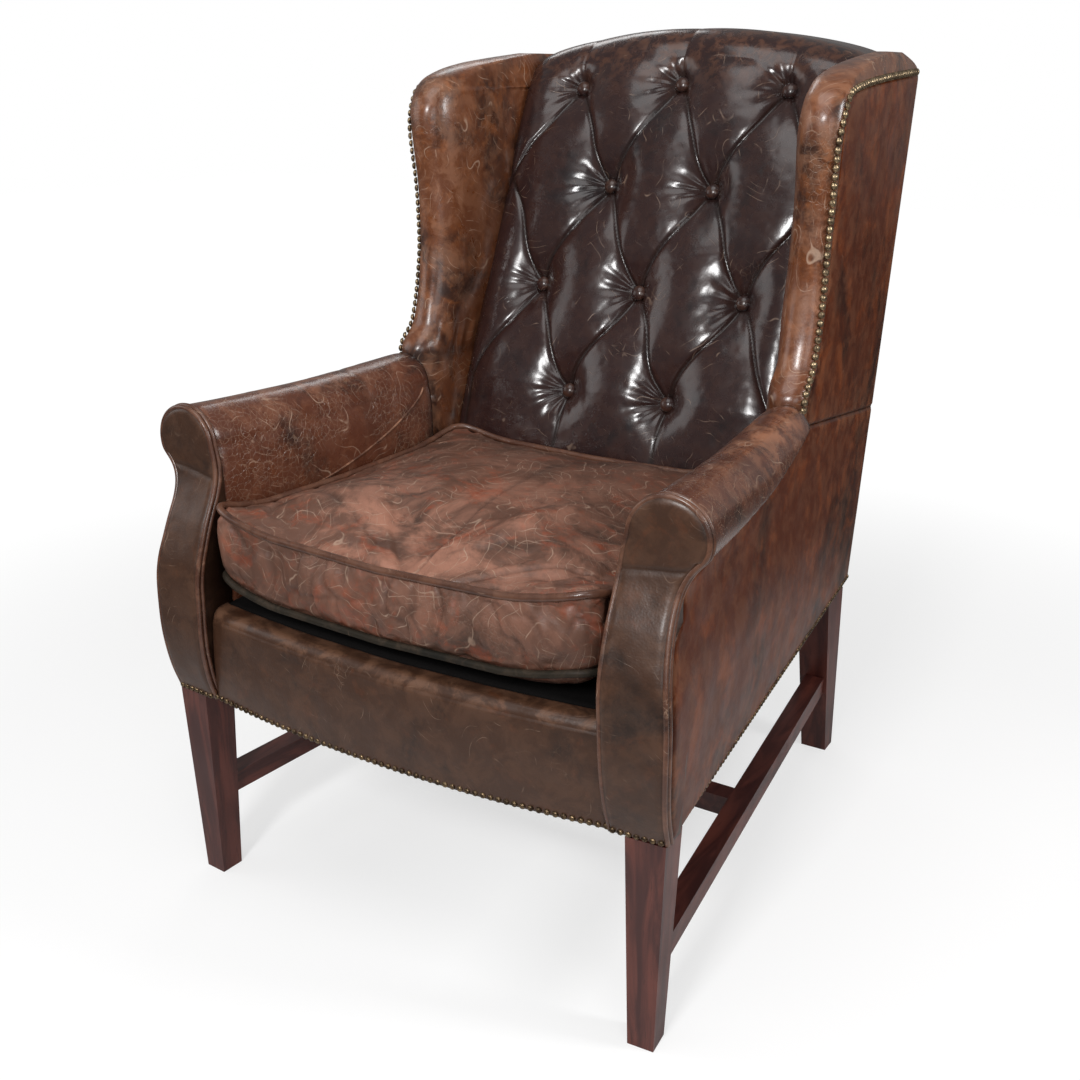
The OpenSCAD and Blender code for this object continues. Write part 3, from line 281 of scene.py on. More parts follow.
# The two values that the leathers read at each point: the painted shade value is 0 in a crease, a recess or a
# shaded underside and 1 on a pillow, and worn is 1 where the dye is rubbed off. Each comes as one number for
# the whole piece or as arrays laid end to end
def keepWearAndShade(piece, creaseShade, worn):
    for name, values in (("creaseShade", creaseShade), ("worn", worn)):
        if np.isscalar(values):
            values = [np.full(len(piece.data.vertices), values)]
        layer = piece.data.attributes.new(name, "FLOAT", "POINT")
        layer.data.foreach_set("value", np.concatenate([np.ravel(v) for v in values]).astype(np.float32))


def sideWord(side):
    return "Right" if side > 0 else "Left"


# Faces of a grid of r rows and c columns, row by row, as one array
def gridFaces(r, c, start=0, aroundRows=False, aroundColumns=False):
    rows = np.arange(r if aroundRows else r - 1)[:, None]
    cols = np.arange(c if aroundColumns else c - 1)[None, :]
    a = rows * c + cols
    b = rows * c + (cols + 1) % c
    d = (rows + 1) % r * c + cols
    e = (rows + 1) % r * c + (cols + 1) % c
    return (np.stack([a, b, e, d], -1).reshape(-1, 4) + start).tolist()


# A closed shell between two grids of the same size: the two grids and the band of faces round their edges
def shellFaces(r, c):
    n = r * c
    front = gridFaces(r, c)
    back = [f[::-1] for f in gridFaces(r, c, n)]
    ring = ([(0, j) for j in range(c - 1)] + [(i, c - 1) for i in range(r - 1)]
            + [(r - 1, j) for j in range(c - 1, 0, -1)] + [(i, 0) for i in range(r - 1, 0, -1)])
    ids = [i * c + j for i, j in ring]
    band = [(ids[(k + 1) % len(ids)], ids[k], ids[k] + n, ids[(k + 1) % len(ids)] + n)
            for k in range(len(ids))]
    return front + back + band


# A closed loft through rings of points, with a fan at each end
def loftFaces(r, c):
    faces = gridFaces(r, c, aroundColumns=True)
    n = r * c
    faces += [(n, (j + 1) % c, j) for j in range(c)]
    faces += [(n + 1, (r - 1) * c + j, (r - 1) * c + (j + 1) % c) for j in range(c)]
    return faces


def addLoft(name, rings, material):
    r, c = rings.shape[:2]
    ends = np.stack([rings[0].mean(0), rings[-1].mean(0)])
    return addMesh(name, np.concatenate([rings.reshape(-1, 3), ends]), loftFaces(r, c), material)


def addShell(name, front, back, material):
    r, c = front.shape[:2]
    return addMesh(name, np.concatenate([front.reshape(-1, 3), back.reshape(-1, 3)]), shellFaces(r, c),
                   material)


# A closed pad whose front is a fine grid and whose back is a plain strip between its two side edges. The ends
# are closed by one face each
def addPad(name, front, back, material):
    r, c = front.shape[:2]
    n = r * c
    left = [(i * c, (i + 1) * c, n + 2 * (i + 1), n + 2 * i) for i in range(r - 1)]
    right = [((i + 2) * c - 1, (i + 1) * c - 1, n + 2 * i + 1, n + 2 * i + 3) for i in range(r - 1)]
    behind = [(n + 2 * i, n + 2 * i + 2, n + 2 * i + 3, n + 2 * i + 1) for i in range(r - 1)]
    low = [tuple(range(c - 1, -1, -1)) + (n, n + 1)]
    high = [tuple(range((r - 1) * c, r * c)) + (n + 2 * r - 1, n + 2 * r - 2)]
    faces = gridFaces(r, c) + left + right + behind + low + high
    return addMesh(name, np.concatenate([front.reshape(-1, 3), back.reshape(-1, 3)]), faces, material)


# A path walked at even steps: points at equal distances along it
def evenPath(path, step, closed=False):
    path = np.asarray(path, float)
    if closed:
        path = np.concatenate([path, path[:1]])
    run = np.concatenate([[0], np.cumsum(np.linalg.norm(np.diff(path, axis=0), axis=1))])
    count = max(2, int(round(run[-1] / step)) + (0 if closed else 1))
    at = np.linspace(0, run[-1], count, endpoint=not closed)
    return np.stack([np.interp(at, run, path[:, k]) for k in range(3)], -1)


# A cord of round section carried along a path. Each ring is square to the path's direction, with one axis
# kept near the given normals
def cordRings(path, radius, normals, sides=10, closed=False):
    ahead = np.roll(path, -1, 0) - np.roll(path, 1, 0) if closed else np.gradient(path, axis=0)
    ahead /= np.linalg.norm(ahead, axis=1)[:, None]
    normals = np.broadcast_to(np.asarray(normals, float), path.shape)
    side = np.cross(ahead, normals)
    side /= np.linalg.norm(side, axis=1)[:, None]
    up = np.cross(side, ahead)
    a = np.linspace(0, 2 * np.pi, sides, endpoint=False)
    radius = np.broadcast_to(np.asarray(radius, float), len(path))[:, None, None]
    return path[:, None] + radius * (side[:, None] * np.cos(a)[None, :, None]
                                     + up[:, None] * np.sin(a)[None, :, None])


def addCord(name, path, radius, normals, material, sides=10, closed=False, step=4):
    even = evenPath(path, step, closed)
    if np.ndim(normals) > 1:
        near = np.argmin(((even[:, None] - np.asarray(path)[None]) ** 2).sum(-1), axis=1)
        normals = np.asarray(normals)[near]
    rings = cordRings(even, radius, normals, sides, closed)
    if not closed:
        return addLoft(name, rings, material)
    r, c = rings.shape[:2]
    return addMesh(name, rings.reshape(-1, 3), gridFaces(r, c, aroundRows=True, aroundColumns=True),
                   material)


def mirrorX(points):
    points = np.array(points, float)
    points[..., 0] *= -1
    return points


def finish(piece, body, slot, *replaced):
    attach(piece, body)
    if replaced:
        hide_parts(*replaced)
    return piece


# Shader node groups

def newGroup(name, inputs, outputs):
    group = bpy.data.node_groups.new(name, "ShaderNodeTree")
    for socket, kind, value in inputs:
        item = group.interface.new_socket(socket, in_out="INPUT", socket_type=kind)
        if value is not None:
            item.default_value = value
    for socket, kind in outputs:
        group.interface.new_socket(socket, in_out="OUTPUT", socket_type=kind)
    return group, group.nodes.new("NodeGroupInput"), group.nodes.new("NodeGroupOutput")


def link(tree, pairs):
    for a, b in pairs:
        tree.links.new(a, b)


def mathNode(tree, kind, a, b=None, c=None, clamp=False):
    node = tree.nodes.new("ShaderNodeMath")
    node.operation = kind
    node.use_clamp = clamp
    for k, value in enumerate((a, b, c)):
        if value is None:
            continue
        if isinstance(value, (int, float)):
            node.inputs[k].default_value = value
        else:
            tree.links.new(value, node.inputs[k])
    return node.outputs[0]


def rangeNode(tree, value, low, high, toLow=0.0, toHigh=1.0):
    node = tree.nodes.new("ShaderNodeMapRange")
    node.interpolation_type = "SMOOTHSTEP"
    tree.links.new(value, node.inputs["Value"])
    for name, v in (("From Min", low), ("From Max", high), ("To Min", toLow), ("To Max", toHigh)):
        if isinstance(v, (int, float)):
            node.inputs[name].default_value = v
        else:
            tree.links.new(v, node.inputs[name])
    return node.outputs[0]


def noiseNode(tree, vector, scale, detail=4.0, rough=0.5, distortion=0.0):
    node = tree.nodes.new("ShaderNodeTexNoise")
    tree.links.new(vector, node.inputs["Vector"])
    if isinstance(scale, (int, float)):
        node.inputs["Scale"].default_value = scale
    else:
        tree.links.new(scale, node.inputs["Scale"])
    node.inputs["Detail"].default_value = detail
    node.inputs["Roughness"].default_value = rough
    node.inputs["Distortion"].default_value = distortion
    return node


def mixColour(tree, share, a, b):
    node = tree.nodes.new("ShaderNodeMix")
    node.data_type = "RGBA"
    for socket, value in ((node.inputs[0], share), (node.inputs[6], a), (node.inputs[7], b)):
        if isinstance(value, (int, float)):
            socket.default_value = value
        elif isinstance(value, tuple):
            socket.default_value = (*value, 1.0)
        else:
            tree.links.new(value, socket)
    return node.outputs[2]


# Cloudy patches of dye: two sizes of noise, the small one bending the large one, pushed to a soft edge
def makeHidePatches():
    group, given, out = newGroup("hidePatches",
                                 [("Vector", "NodeSocketVector", None), ("Scale", "NodeSocketFloat", 6.0),
                                  ("Amount", "NodeSocketFloat", 0.5)], [("Mask", "NodeSocketFloat")])
    big = noiseNode(group, given.outputs["Vector"], given.outputs["Scale"], 6.0, 0.62, 1.2)
    fine = noiseNode(group, given.outputs["Vector"],
                     mathNode(group, "MULTIPLY", given.outputs["Scale"], 5.3), 5.0, 0.65, 0.4)
    both = mathNode(group, "ADD", mathNode(group, "MULTIPLY", big.outputs["Fac"], 0.68),
                    mathNode(group, "MULTIPLY", fine.outputs["Fac"], 0.32))
    low = mathNode(group, "SUBTRACT", 0.68, mathNode(group, "MULTIPLY", given.outputs["Amount"], 0.36))
    link(group, [(rangeNode(group, both, low, mathNode(group, "ADD", low, 0.16)), out.inputs["Mask"])])
    return group


# Fine cracks: the edges of cells whose places are bent by noise, thinner and absent in some areas
def makeCracks():
    group, given, out = newGroup("cracks",
                                 [("Vector", "NodeSocketVector", None), ("Scale", "NodeSocketFloat", 90.0),
                                  ("Width", "NodeSocketFloat", 0.05), ("Cover", "NodeSocketFloat", 0.4)],
                                 [("Mask", "NodeSocketFloat")])
    bend = noiseNode(group, given.outputs["Vector"], 38.0, 3.0, 0.6)
    moved = group.nodes.new("ShaderNodeVectorMath")
    moved.operation = "MULTIPLY_ADD"
    moved.inputs[1].default_value = (0.016, 0.016, 0.016)
    link(group, [(bend.outputs["Color"], moved.inputs[0]), (given.outputs["Vector"], moved.inputs[2])])
    cells = group.nodes.new("ShaderNodeTexVoronoi")
    cells.feature = "DISTANCE_TO_EDGE"
    link(group, [(moved.outputs[0], cells.inputs["Vector"]),
                 (given.outputs["Scale"], cells.inputs["Scale"])])
    line = mathNode(group, "SUBTRACT", 1.0,
                    rangeNode(group, cells.outputs["Distance"], 0.0, given.outputs["Width"]))
    area = noiseNode(group, given.outputs["Vector"], 9.0, 4.0, 0.6, 0.6)
    low = mathNode(group, "SUBTRACT", 0.72, mathNode(group, "MULTIPLY", given.outputs["Cover"], 0.45))
    there = rangeNode(group, area.outputs["Fac"], low, mathNode(group, "ADD", low, 0.1))
    link(group, [(mathNode(group, "MULTIPLY", line, there), out.inputs["Mask"])])
    return group


# Scratches: in three directions, the lines where the sine of the distance along a direction, swayed by a
# broad noise, passes zero. A finer noise keeps only stretches of each
def makeScratches():
    group, given, out = newGroup("scratches",
                                 [("Vector", "NodeSocketVector", None), ("Scale", "NodeSocketFloat", 14.0),
                                  ("Cover", "NodeSocketFloat", 0.4)], [("Mask", "NodeSocketFloat")])
    place = given.outputs["Vector"]
    sway, where = group.nodes.new("ShaderNodeSeparateColor"), group.nodes.new("ShaderNodeSeparateColor")
    broad = noiseNode(group, place, 8.0, 2.0, 0.5)
    finer = noiseNode(group, place, mathNode(group, "MULTIPLY", given.outputs["Scale"], 2.0), 3.0, 0.6)
    link(group, [(broad.outputs["Color"], sway.inputs[0]), (finer.outputs["Color"], where.inputs[0])])
    low = mathNode(group, "SUBTRACT", 0.71, mathNode(group, "MULTIPLY", given.outputs["Cover"], 0.3))
    turns = mathNode(group, "MULTIPLY", given.outputs["Scale"], 17.0)
    total = None
    for k, direction in enumerate(((0.88, 0.38, 0.28), (-0.35, 0.72, 0.60), (0.45, -0.35, 0.82))):
        along = group.nodes.new("ShaderNodeVectorMath")
        along.operation = "DOT_PRODUCT"
        along.inputs[1].default_value = direction
        group.links.new(place, along.inputs[0])
        phase = mathNode(group, "MULTIPLY", along.outputs["Value"], turns)
        phase = mathNode(group, "ADD", phase, mathNode(group, "MULTIPLY", sway.outputs[k], 42.0))
        far = mathNode(group, "ABSOLUTE", mathNode(group, "SINE", phase))
        line = mathNode(group, "SUBTRACT", 1.0, rangeNode(group, far, 0.02, 0.14))
        line = mathNode(group, "MULTIPLY", line,
                        rangeNode(group, where.outputs[k], low, mathNode(group, "ADD", low, 0.14)))
        total = line if total is None else mathNode(group, "MAXIMUM", total, line)
    link(group, [(total, out.inputs["Mask"])])
    return group


# Grain: small pebbles from rounded cells, over a gentle unevenness of the hide
def makeGrain():
    group, given, out = newGroup("grain",
                                 [("Vector", "NodeSocketVector", None), ("Scale", "NodeSocketFloat", 420.0)],
                                 [("Height", "NodeSocketFloat")])
    cells = group.nodes.new("ShaderNodeTexVoronoi")
    cells.feature = "SMOOTH_F1"
    link(group, [(given.outputs["Vector"], cells.inputs["Vector"]),
                 (given.outputs["Scale"], cells.inputs["Scale"])])
    soft = noiseNode(group, given.outputs["Vector"], 70.0, 4.0, 0.55)
    pebbles = mathNode(group, "MULTIPLY", cells.outputs["Distance"], 0.35)
    link(group, [(mathNode(group, "ADD", pebbles, mathNode(group, "MULTIPLY", soft.outputs["Fac"], 1.2)),
                  out.inputs["Height"])])
    return group


patchesGroup = makeHidePatches()
cracksGroup = makeCracks()
scratchesGroup = makeScratches()
grainGroup = makeGrain()


def useGroup(tree, group, vector, **values):
    node = tree.nodes.new("ShaderNodeGroup")
    node.node_tree = group
    tree.links.new(vector, node.inputs["Vector"])
    for name, value in values.items():
        node.inputs[name].default_value = value
    return node.outputs[0]


def startMaterial(name):
    material = bpy.data.materials.new(name)
    material.use_nodes = True
    tree = material.node_tree
    shader = tree.nodes["Principled BSDF"]
    place = tree.nodes.new("ShaderNodeTexCoord")
    return material, tree, shader, place.outputs["Object"]


# Leather: dye in patches over a base, worn bare on the high places, with painted shade darkening the folds,
# with cracks, scratches and grain. The painted shade value is 0 in a crease and 1 on a pillow; worn is 1
# where the colour is rubbed off
def makeLeather(name, look):
    material, tree, shader, place = startMaterial(name)
    creaseShade = tree.nodes.new("ShaderNodeAttribute")
    creaseShade.attribute_name = "creaseShade"
    worn = tree.nodes.new("ShaderNodeAttribute")
    worn.attribute_name = "worn"
    dark = useGroup(tree, patchesGroup, place, Scale=look["patchScale"], Amount=look["patchAmount"])
    small = useGroup(tree, patchesGroup, place, Scale=look["patchScale"] * 3.7, Amount=look["blushAmount"])
    colour = mixColour(tree, dark, look["base"], look["deep"])
    blush = mathNode(tree, "MULTIPLY_ADD", worn.outputs["Fac"], 1.1, 0.4, clamp=True)
    blush = mathNode(tree, "MULTIPLY", blush, mathNode(tree, "MULTIPLY", small, look["blush"]))
    colour = mixColour(tree, blush, colour, look["warm"])
    rubbed = noiseNode(tree, place, look.get("rubScale", 30.0), 6.0, 0.7, 0.5)
    bare = mathNode(tree, "MULTIPLY", worn.outputs["Fac"],
                    rangeNode(tree, rubbed.outputs["Fac"], 0.42, 0.62), clamp=True)
    colour = mixColour(tree, bare, colour, look["bare"])
    cracks = useGroup(tree, cracksGroup, place, Scale=look["crackScale"], Width=look["crackWidth"],
                      Cover=look["crackCover"])
    colour = mixColour(tree, mathNode(tree, "MULTIPLY", cracks, look["crackShow"]), colour, look["crack"])
    marks = useGroup(tree, scratchesGroup, place, Scale=look["scratchScale"], Cover=look["scratchCover"])
    colour = mixColour(tree, mathNode(tree, "MULTIPLY", marks, look["scratchShow"]), colour, look["scratch"])
    # painted shade: the crease colour is mixed in where the painted shade value is low, standing in for the
    # shade in creases, recesses and undersides
    creaseShadeShare = mathNode(tree, "SUBTRACT", 1.0, creaseShade.outputs["Fac"], clamp=True)
    colour = mixColour(tree, mathNode(tree, "MULTIPLY", creaseShadeShare, 0.75), colour, look["crease"])
    tree.links.new(colour, shader.inputs["Base Color"])
    sheen = noiseNode(tree, place, 26.0, 5.0, 0.65)
    rough = rangeNode(tree, sheen.outputs["Fac"], 0.3, 0.7, look["roughLow"], look["roughHigh"])
    rough = mathNode(tree, "ADD", rough, mathNode(tree, "MULTIPLY", bare, 0.22))
    rough = mathNode(tree, "ADD", rough, mathNode(tree, "MULTIPLY", marks, 0.2), clamp=True)
    tree.links.new(rough, shader.inputs["Roughness"])
    shader.inputs["Specular IOR Level"].default_value = look.get("specular", 0.5)
    shader.inputs["Coat Weight"].default_value = look.get("coat", 0.25)
    shader.inputs["Coat Roughness"].default_value = look.get("coatRough", 0.2)
    grain = useGroup(tree, grainGroup, place, Scale=look["grainScale"])
    height = mathNode(tree, "SUBTRACT", grain, mathNode(tree, "MULTIPLY", cracks, 0.9))
    height = mathNode(tree, "SUBTRACT", height, mathNode(tree, "MULTIPLY", marks, 0.35))
    bump = tree.nodes.new("ShaderNodeBump")
    bump.inputs["Strength"].default_value = look["bump"]
    bump.inputs["Distance"].default_value = 0.0009
    link(tree, [(height, bump.inputs["Height"]), (bump.outputs["Normal"], shader.inputs["Normal"])])
    return material


# crease is the near-black colour of the painted shade in creases, recesses and undersides
leatherBase = {
    "base": (0.135, 0.052, 0.026), "deep": (0.045, 0.020, 0.014), "warm": (0.30, 0.095, 0.035),
    "bare": (0.42, 0.20, 0.11), "crack": (0.50, 0.33, 0.22), "scratch": (0.50, 0.34, 0.24),
    "crease": (0.012, 0.007, 0.006), "patchScale": 6.0, "patchAmount": 0.5, "blushAmount": 0.4, "blush": 0.5,
    "crackScale": 95.0, "crackWidth": 0.035, "crackCover": 0.35, "crackShow": 0.4, "scratchScale": 12.0,
    "scratchCover": 0.4, "scratchShow": 0.5, "roughLow": 0.25, "roughHigh": 0.40, "grainScale": 430.0,
    "bump": 0.35,
}
looks = {
    "darkLeather": {**leatherBase, "base": (0.028, 0.012, 0.011), "deep": (0.013, 0.008, 0.009),
                    "warm": (0.075, 0.026, 0.015), "bare": (0.165, 0.066, 0.032), "blush": 0.35,
                    "blushAmount": 0.3, "scratchCover": 0.45, "scratchShow": 0.34, "crackCover": 0.2,
                    "crackShow": 0.15, "rubScale": 55.0, "roughLow": 0.2, "roughHigh": 0.3, "specular": 0.4,
                    "coat": 0.4, "coatRough": 0.18, "bump": 0.2},
    "chestnutLeather": {**leatherBase, "base": (0.150, 0.046, 0.016), "deep": (0.040, 0.015, 0.009),
                        "patchAmount": 0.6, "warm": (0.34, 0.105, 0.026), "blush": 0.55, "blushAmount": 0.5,
                        "scratchCover": 0.6, "scratchShow": 0.6, "crackCover": 0.35, "crackScale": 105.0,
                        "crackShow": 0.2, "coat": 0.4},
    "sideLeather": {**leatherBase, "base": (0.092, 0.020, 0.006), "deep": (0.024, 0.007, 0.004),
                    "warm": (0.30, 0.070, 0.013), "patchScale": 2.6, "patchAmount": 0.62, "blush": 0.7,
                    "blushAmount": 0.55, "scratchCover": 0.3, "scratchShow": 0.25, "crackCover": 0.1,
                    "crackShow": 0.15, "specular": 0.16, "coat": 0.02, "roughLow": 0.3, "roughHigh": 0.4,
                    "bump": 0.22},
    "armLeather": {**leatherBase, "base": (0.105, 0.033, 0.017), "deep": (0.042, 0.017, 0.012),
                   "crackCover": 0.62, "crackShow": 0.26, "crackScale": 120.0, "crackWidth": 0.045,
                   "scratchCover": 0.65, "scratchShow": 0.55, "coat": 0.5, "bare": (0.33, 0.14, 0.075),
                   "coatRough": 0.2, "warm": (0.25, 0.080, 0.030), "roughLow": 0.2, "roughHigh": 0.34},
    "frontLeather": {**leatherBase, "base": (0.056, 0.025, 0.014), "deep": (0.026, 0.014, 0.010),
                     "warm": (0.150, 0.046, 0.018), "bare": (0.20, 0.095, 0.052), "blush": 0.5,
                     "crackCover": 0.2, "crackShow": 0.25, "scratchCover": 0.4, "scratchShow": 0.3,
                     "roughLow": 0.32, "roughHigh": 0.46, "coat": 0.12, "specular": 0.4},
    "cushionLeather": {**leatherBase, "base": (0.130, 0.060, 0.039), "deep": (0.050, 0.027, 0.018),
                       "warm": (0.27, 0.056, 0.021), "bare": (0.35, 0.160, 0.105),
                       "crack": (0.42, 0.28, 0.20), "scratch": (0.48, 0.34, 0.25), "blush": 0.8,
                       "blushAmount": 0.5, "patchScale": 4.0, "rubScale": 11.0, "patchAmount": 0.55,
                       "crackCover": 0.45, "crackScale": 120.0, "crackShow": 0.22, "scratchCover": 0.8,
                       "scratchShow": 0.5, "scratchScale": 12.0, "roughLow": 0.42, "roughHigh": 0.6,
                       "coat": 0.04, "specular": 0.4, "bump": 0.5},
    # painted shade: a much darker copy of the welt leather, for the cushion's bottom welt, which lies in the
    # shade under the boxing
    "shadedWeltLeather": {**leatherBase, "base": (0.021, 0.017, 0.012), "deep": (0.012, 0.011, 0.009),
                    "warm": (0.080, 0.045, 0.028), "bare": (0.14, 0.09, 0.06), "crackCover": 0.1,
                    "bump": 0.25, "specular": 0.15, "coat": 0.0, "roughLow": 0.45, "roughHigh": 0.6},
    "weltLeather": {**leatherBase, "base": (0.085, 0.034, 0.020), "deep": (0.038, 0.018, 0.013),
                    "warm": (0.20, 0.065, 0.030), "bare": (0.32, 0.15, 0.085), "crackCover": 0.2,
                    "bump": 0.3},
}
leathers = {name: makeLeather(name, look) for name, look in looks.items()}


# Mahogany: rings of grain drawn out along the legs, with fine dark pores, under a thin polish
def makeWood(name, look):
    material, tree, shader, place = startMaterial(name)
    along = tree.nodes.new("ShaderNodeMapping")
    along.inputs["Scale"].default_value = look["stretch"]
    tree.links.new(place, along.inputs["Vector"])
    grain = noiseNode(tree, along.outputs[0], look["scale"], 6.0, 0.6, 0.9)
    pores = noiseNode(tree, along.outputs[0], look["scale"] * 7, 3.0, 0.6)
    cloud = noiseNode(tree, place, 7.0, 3.0)
    colour = mixColour(tree, rangeNode(tree, grain.outputs["Fac"], 0.35, 0.68), look["dark"], look["light"])
    colour = mixColour(tree,
                       mathNode(tree, "MULTIPLY", rangeNode(tree, cloud.outputs["Fac"], 0.4, 0.7), 0.4),
                       colour, look["dark"])
    dots = rangeNode(tree, pores.outputs["Fac"], 0.6, 0.72)
    colour = mixColour(tree, mathNode(tree, "MULTIPLY", dots, 0.5), colour, look["pore"])
    tree.links.new(colour, shader.inputs["Base Color"])
    rough = rangeNode(tree, cloud.outputs["Fac"], 0.3, 0.7, look["roughLow"], look["roughHigh"])
    tree.links.new(rough, shader.inputs["Roughness"])
    shader.inputs["Coat Weight"].default_value = look.get("coat", 0.0)
    shader.inputs["Coat Roughness"].default_value = 0.25
    bump = tree.nodes.new("ShaderNodeBump")
    bump.inputs["Strength"].default_value = 0.15
    bump.inputs["Distance"].default_value = 0.0006
    height = mathNode(tree, "SUBTRACT", grain.outputs["Fac"], mathNode(tree, "MULTIPLY", dots, 0.6))
    link(tree, [(height, bump.inputs["Height"]), (bump.outputs["Normal"], shader.inputs["Normal"])])
    return material


uprightWood = makeWood("mahoganyUpright",
                       {"dark": (0.050, 0.012, 0.010), "light": (0.150, 0.040, 0.027),
                        "pore": (0.020, 0.006, 0.006), "stretch": (9.0, 9.0, 1.0), "scale": 5.0,
                        "roughLow": 0.38, "roughHigh": 0.52, "coat": 0.15})
levelWood = makeWood("mahoganyLevel",
                     {"dark": (0.050, 0.012, 0.010), "light": (0.145, 0.038, 0.026),
                      "pore": (0.020, 0.006, 0.006), "stretch": (9.0, 1.2, 9.0), "scale": 5.0,
                      "roughLow": 0.38, "roughHigh": 0.52, "coat": 0.15})
beechWood = makeWood("beechWood",
                     {"dark": (0.42, 0.27, 0.15), "light": (0.62, 0.45, 0.28), "pore": (0.30, 0.18, 0.10),
                      "stretch": (3.0, 3.0, 1.0), "scale": 9.0, "roughLow": 0.55, "roughHigh": 0.75})


# Aged brass: the metal rubbed bright on the domes, dulled by brown tarnish that gathers in patches
def makeBrass(name, bright, dull):
    material, tree, shader, place = startMaterial(name)
    tarnish = noiseNode(tree, place, 160.0, 4.0, 0.6)
    mask = rangeNode(tree, tarnish.outputs["Fac"], 0.38, 0.62)
    tree.links.new(mixColour(tree, mask, bright, dull), shader.inputs["Base Color"])
    tree.links.new(rangeNode(tree, tarnish.outputs["Fac"], 0.3, 0.7, 0.3, 0.5), shader.inputs["Roughness"])
    shader.inputs["Metallic"].default_value = 0.9
    return material


# Plain weave: two crossing waves of threads, each over and under the other, with a little fuzz
def makeWeave(name, colour, thread, rough=0.9):
    material, tree, shader, place = startMaterial(name)
    apart = tree.nodes.new("ShaderNodeSeparateXYZ")
    tree.links.new(place, apart.inputs[0])
    waves = [mathNode(tree, "SINE", mathNode(tree, "MULTIPLY", apart.outputs[k], 2 * math.pi / thread))
             for k in (0, 1)]
    both = mathNode(tree, "MULTIPLY", waves[0], waves[1])
    fuzz = noiseNode(tree, place, 900.0, 2.0)
    cloud = noiseNode(tree, place, 11.0, 4.0)
    shade = mathNode(tree, "ADD", mathNode(tree, "MULTIPLY", both, 0.25),
                     mathNode(tree, "MULTIPLY", cloud.outputs["Fac"], 0.9), clamp=True)
    tree.links.new(mixColour(tree, shade, tuple(v * 0.55 for v in colour), colour),
                   shader.inputs["Base Color"])
    shader.inputs["Roughness"].default_value = rough
    shader.inputs["Specular IOR Level"].default_value = 0.12
    bump = tree.nodes.new("ShaderNodeBump")
    bump.inputs["Strength"].default_value = 0.5
    bump.inputs["Distance"].default_value = 0.0006
    height = mathNode(tree, "ADD", both, mathNode(tree, "MULTIPLY", fuzz.outputs["Fac"], 0.7))
    link(tree, [(height, bump.inputs["Height"]), (bump.outputs["Normal"], shader.inputs["Normal"])])
    return material


# Spring wire: dark drawn steel, a little brighter in streaks
def makeSteel():
    material, tree, shader, place = startMaterial("springSteel")
    streaks = noiseNode(tree, place, 120.0, 4.0)
    tree.links.new(mixColour(tree, streaks.outputs["Fac"], (0.16, 0.16, 0.17), (0.34, 0.34, 0.36)),
                   shader.inputs["Base Color"])
    tree.links.new(rangeNode(tree, streaks.outputs["Fac"], 0.3, 0.7, 0.32, 0.5), shader.inputs["Roughness"])
    shader.inputs["Metallic"].default_value = 0.9
    return material


agedBrass = makeBrass("agedBrass", (0.44, 0.33, 0.20), (0.14, 0.10, 0.062))
dullBrass = makeBrass("dullBrass", (0.22, 0.15, 0.085), (0.055, 0.036, 0.022))
blackCloth = makeWeave("blackCloth", (0.007, 0.006, 0.006), 0.0018)
juteStrap = makeWeave("juteStrap", (0.40, 0.30, 0.18), 0.003)
springSteel = makeSteel()
print("materials ready")


def dress(name, material):
    node = nodes[name]
    node.data.materials.clear()
    node.data.materials.append(material)


for name in nodes:
    if name.startswith(("front_leg", "back_leg")):
        dress(name, uprightWood)
    elif "stretcher" in name:
        dress(name, levelWood)
    elif name.startswith("wing_nails"):
        dress(name, agedBrass)
    elif name in ("back_webbing",):
        dress(name, juteStrap)
    elif name == "seat_springs":
        dress(name, springSteel)
    elif name in ("seat_deck", "dust_cover"):
        dress(name, blackCloth)
    elif "rail" in name or "post" in name or "stile" in name or "stump" in name or name == "corner_blocks":
        if name != "front_rail_cover":
            dress(name, beechWood)

# Inside back

tufting = {"acrossStep": 2.1, "upStep": 2.2, "creaseWidth": 0.02, "dimpleShare": 0.74, "dimpleAcross": 40,
           "dimpleUp": 54, "round": 0.42, "groove": 1.6, "grooveWidth": 0.045, "gathers": 13,
           "gatherDepth": 3.0, "gatherReach": 32, "pitDepth": 6, "pitRadius": 15, "crestRadius": 50,
           "edge": 12, "buttonSize": 1.16, "buttonLift": 6.5}


# Places of the buttons on the padded face, across and along it, in mm from the middle of the top row
def buttonPlaces():
    rows = [(k, m + (0.5 if k % 2 else 0.0)) for k in range(chair["buttonRows"]) for m in (-1, 0, 1)
            if k % 2 == 0 or m < 1]
    return np.array([(c * chair["pitch"], -k * chair["rowPitch"]) for k, c in rows])


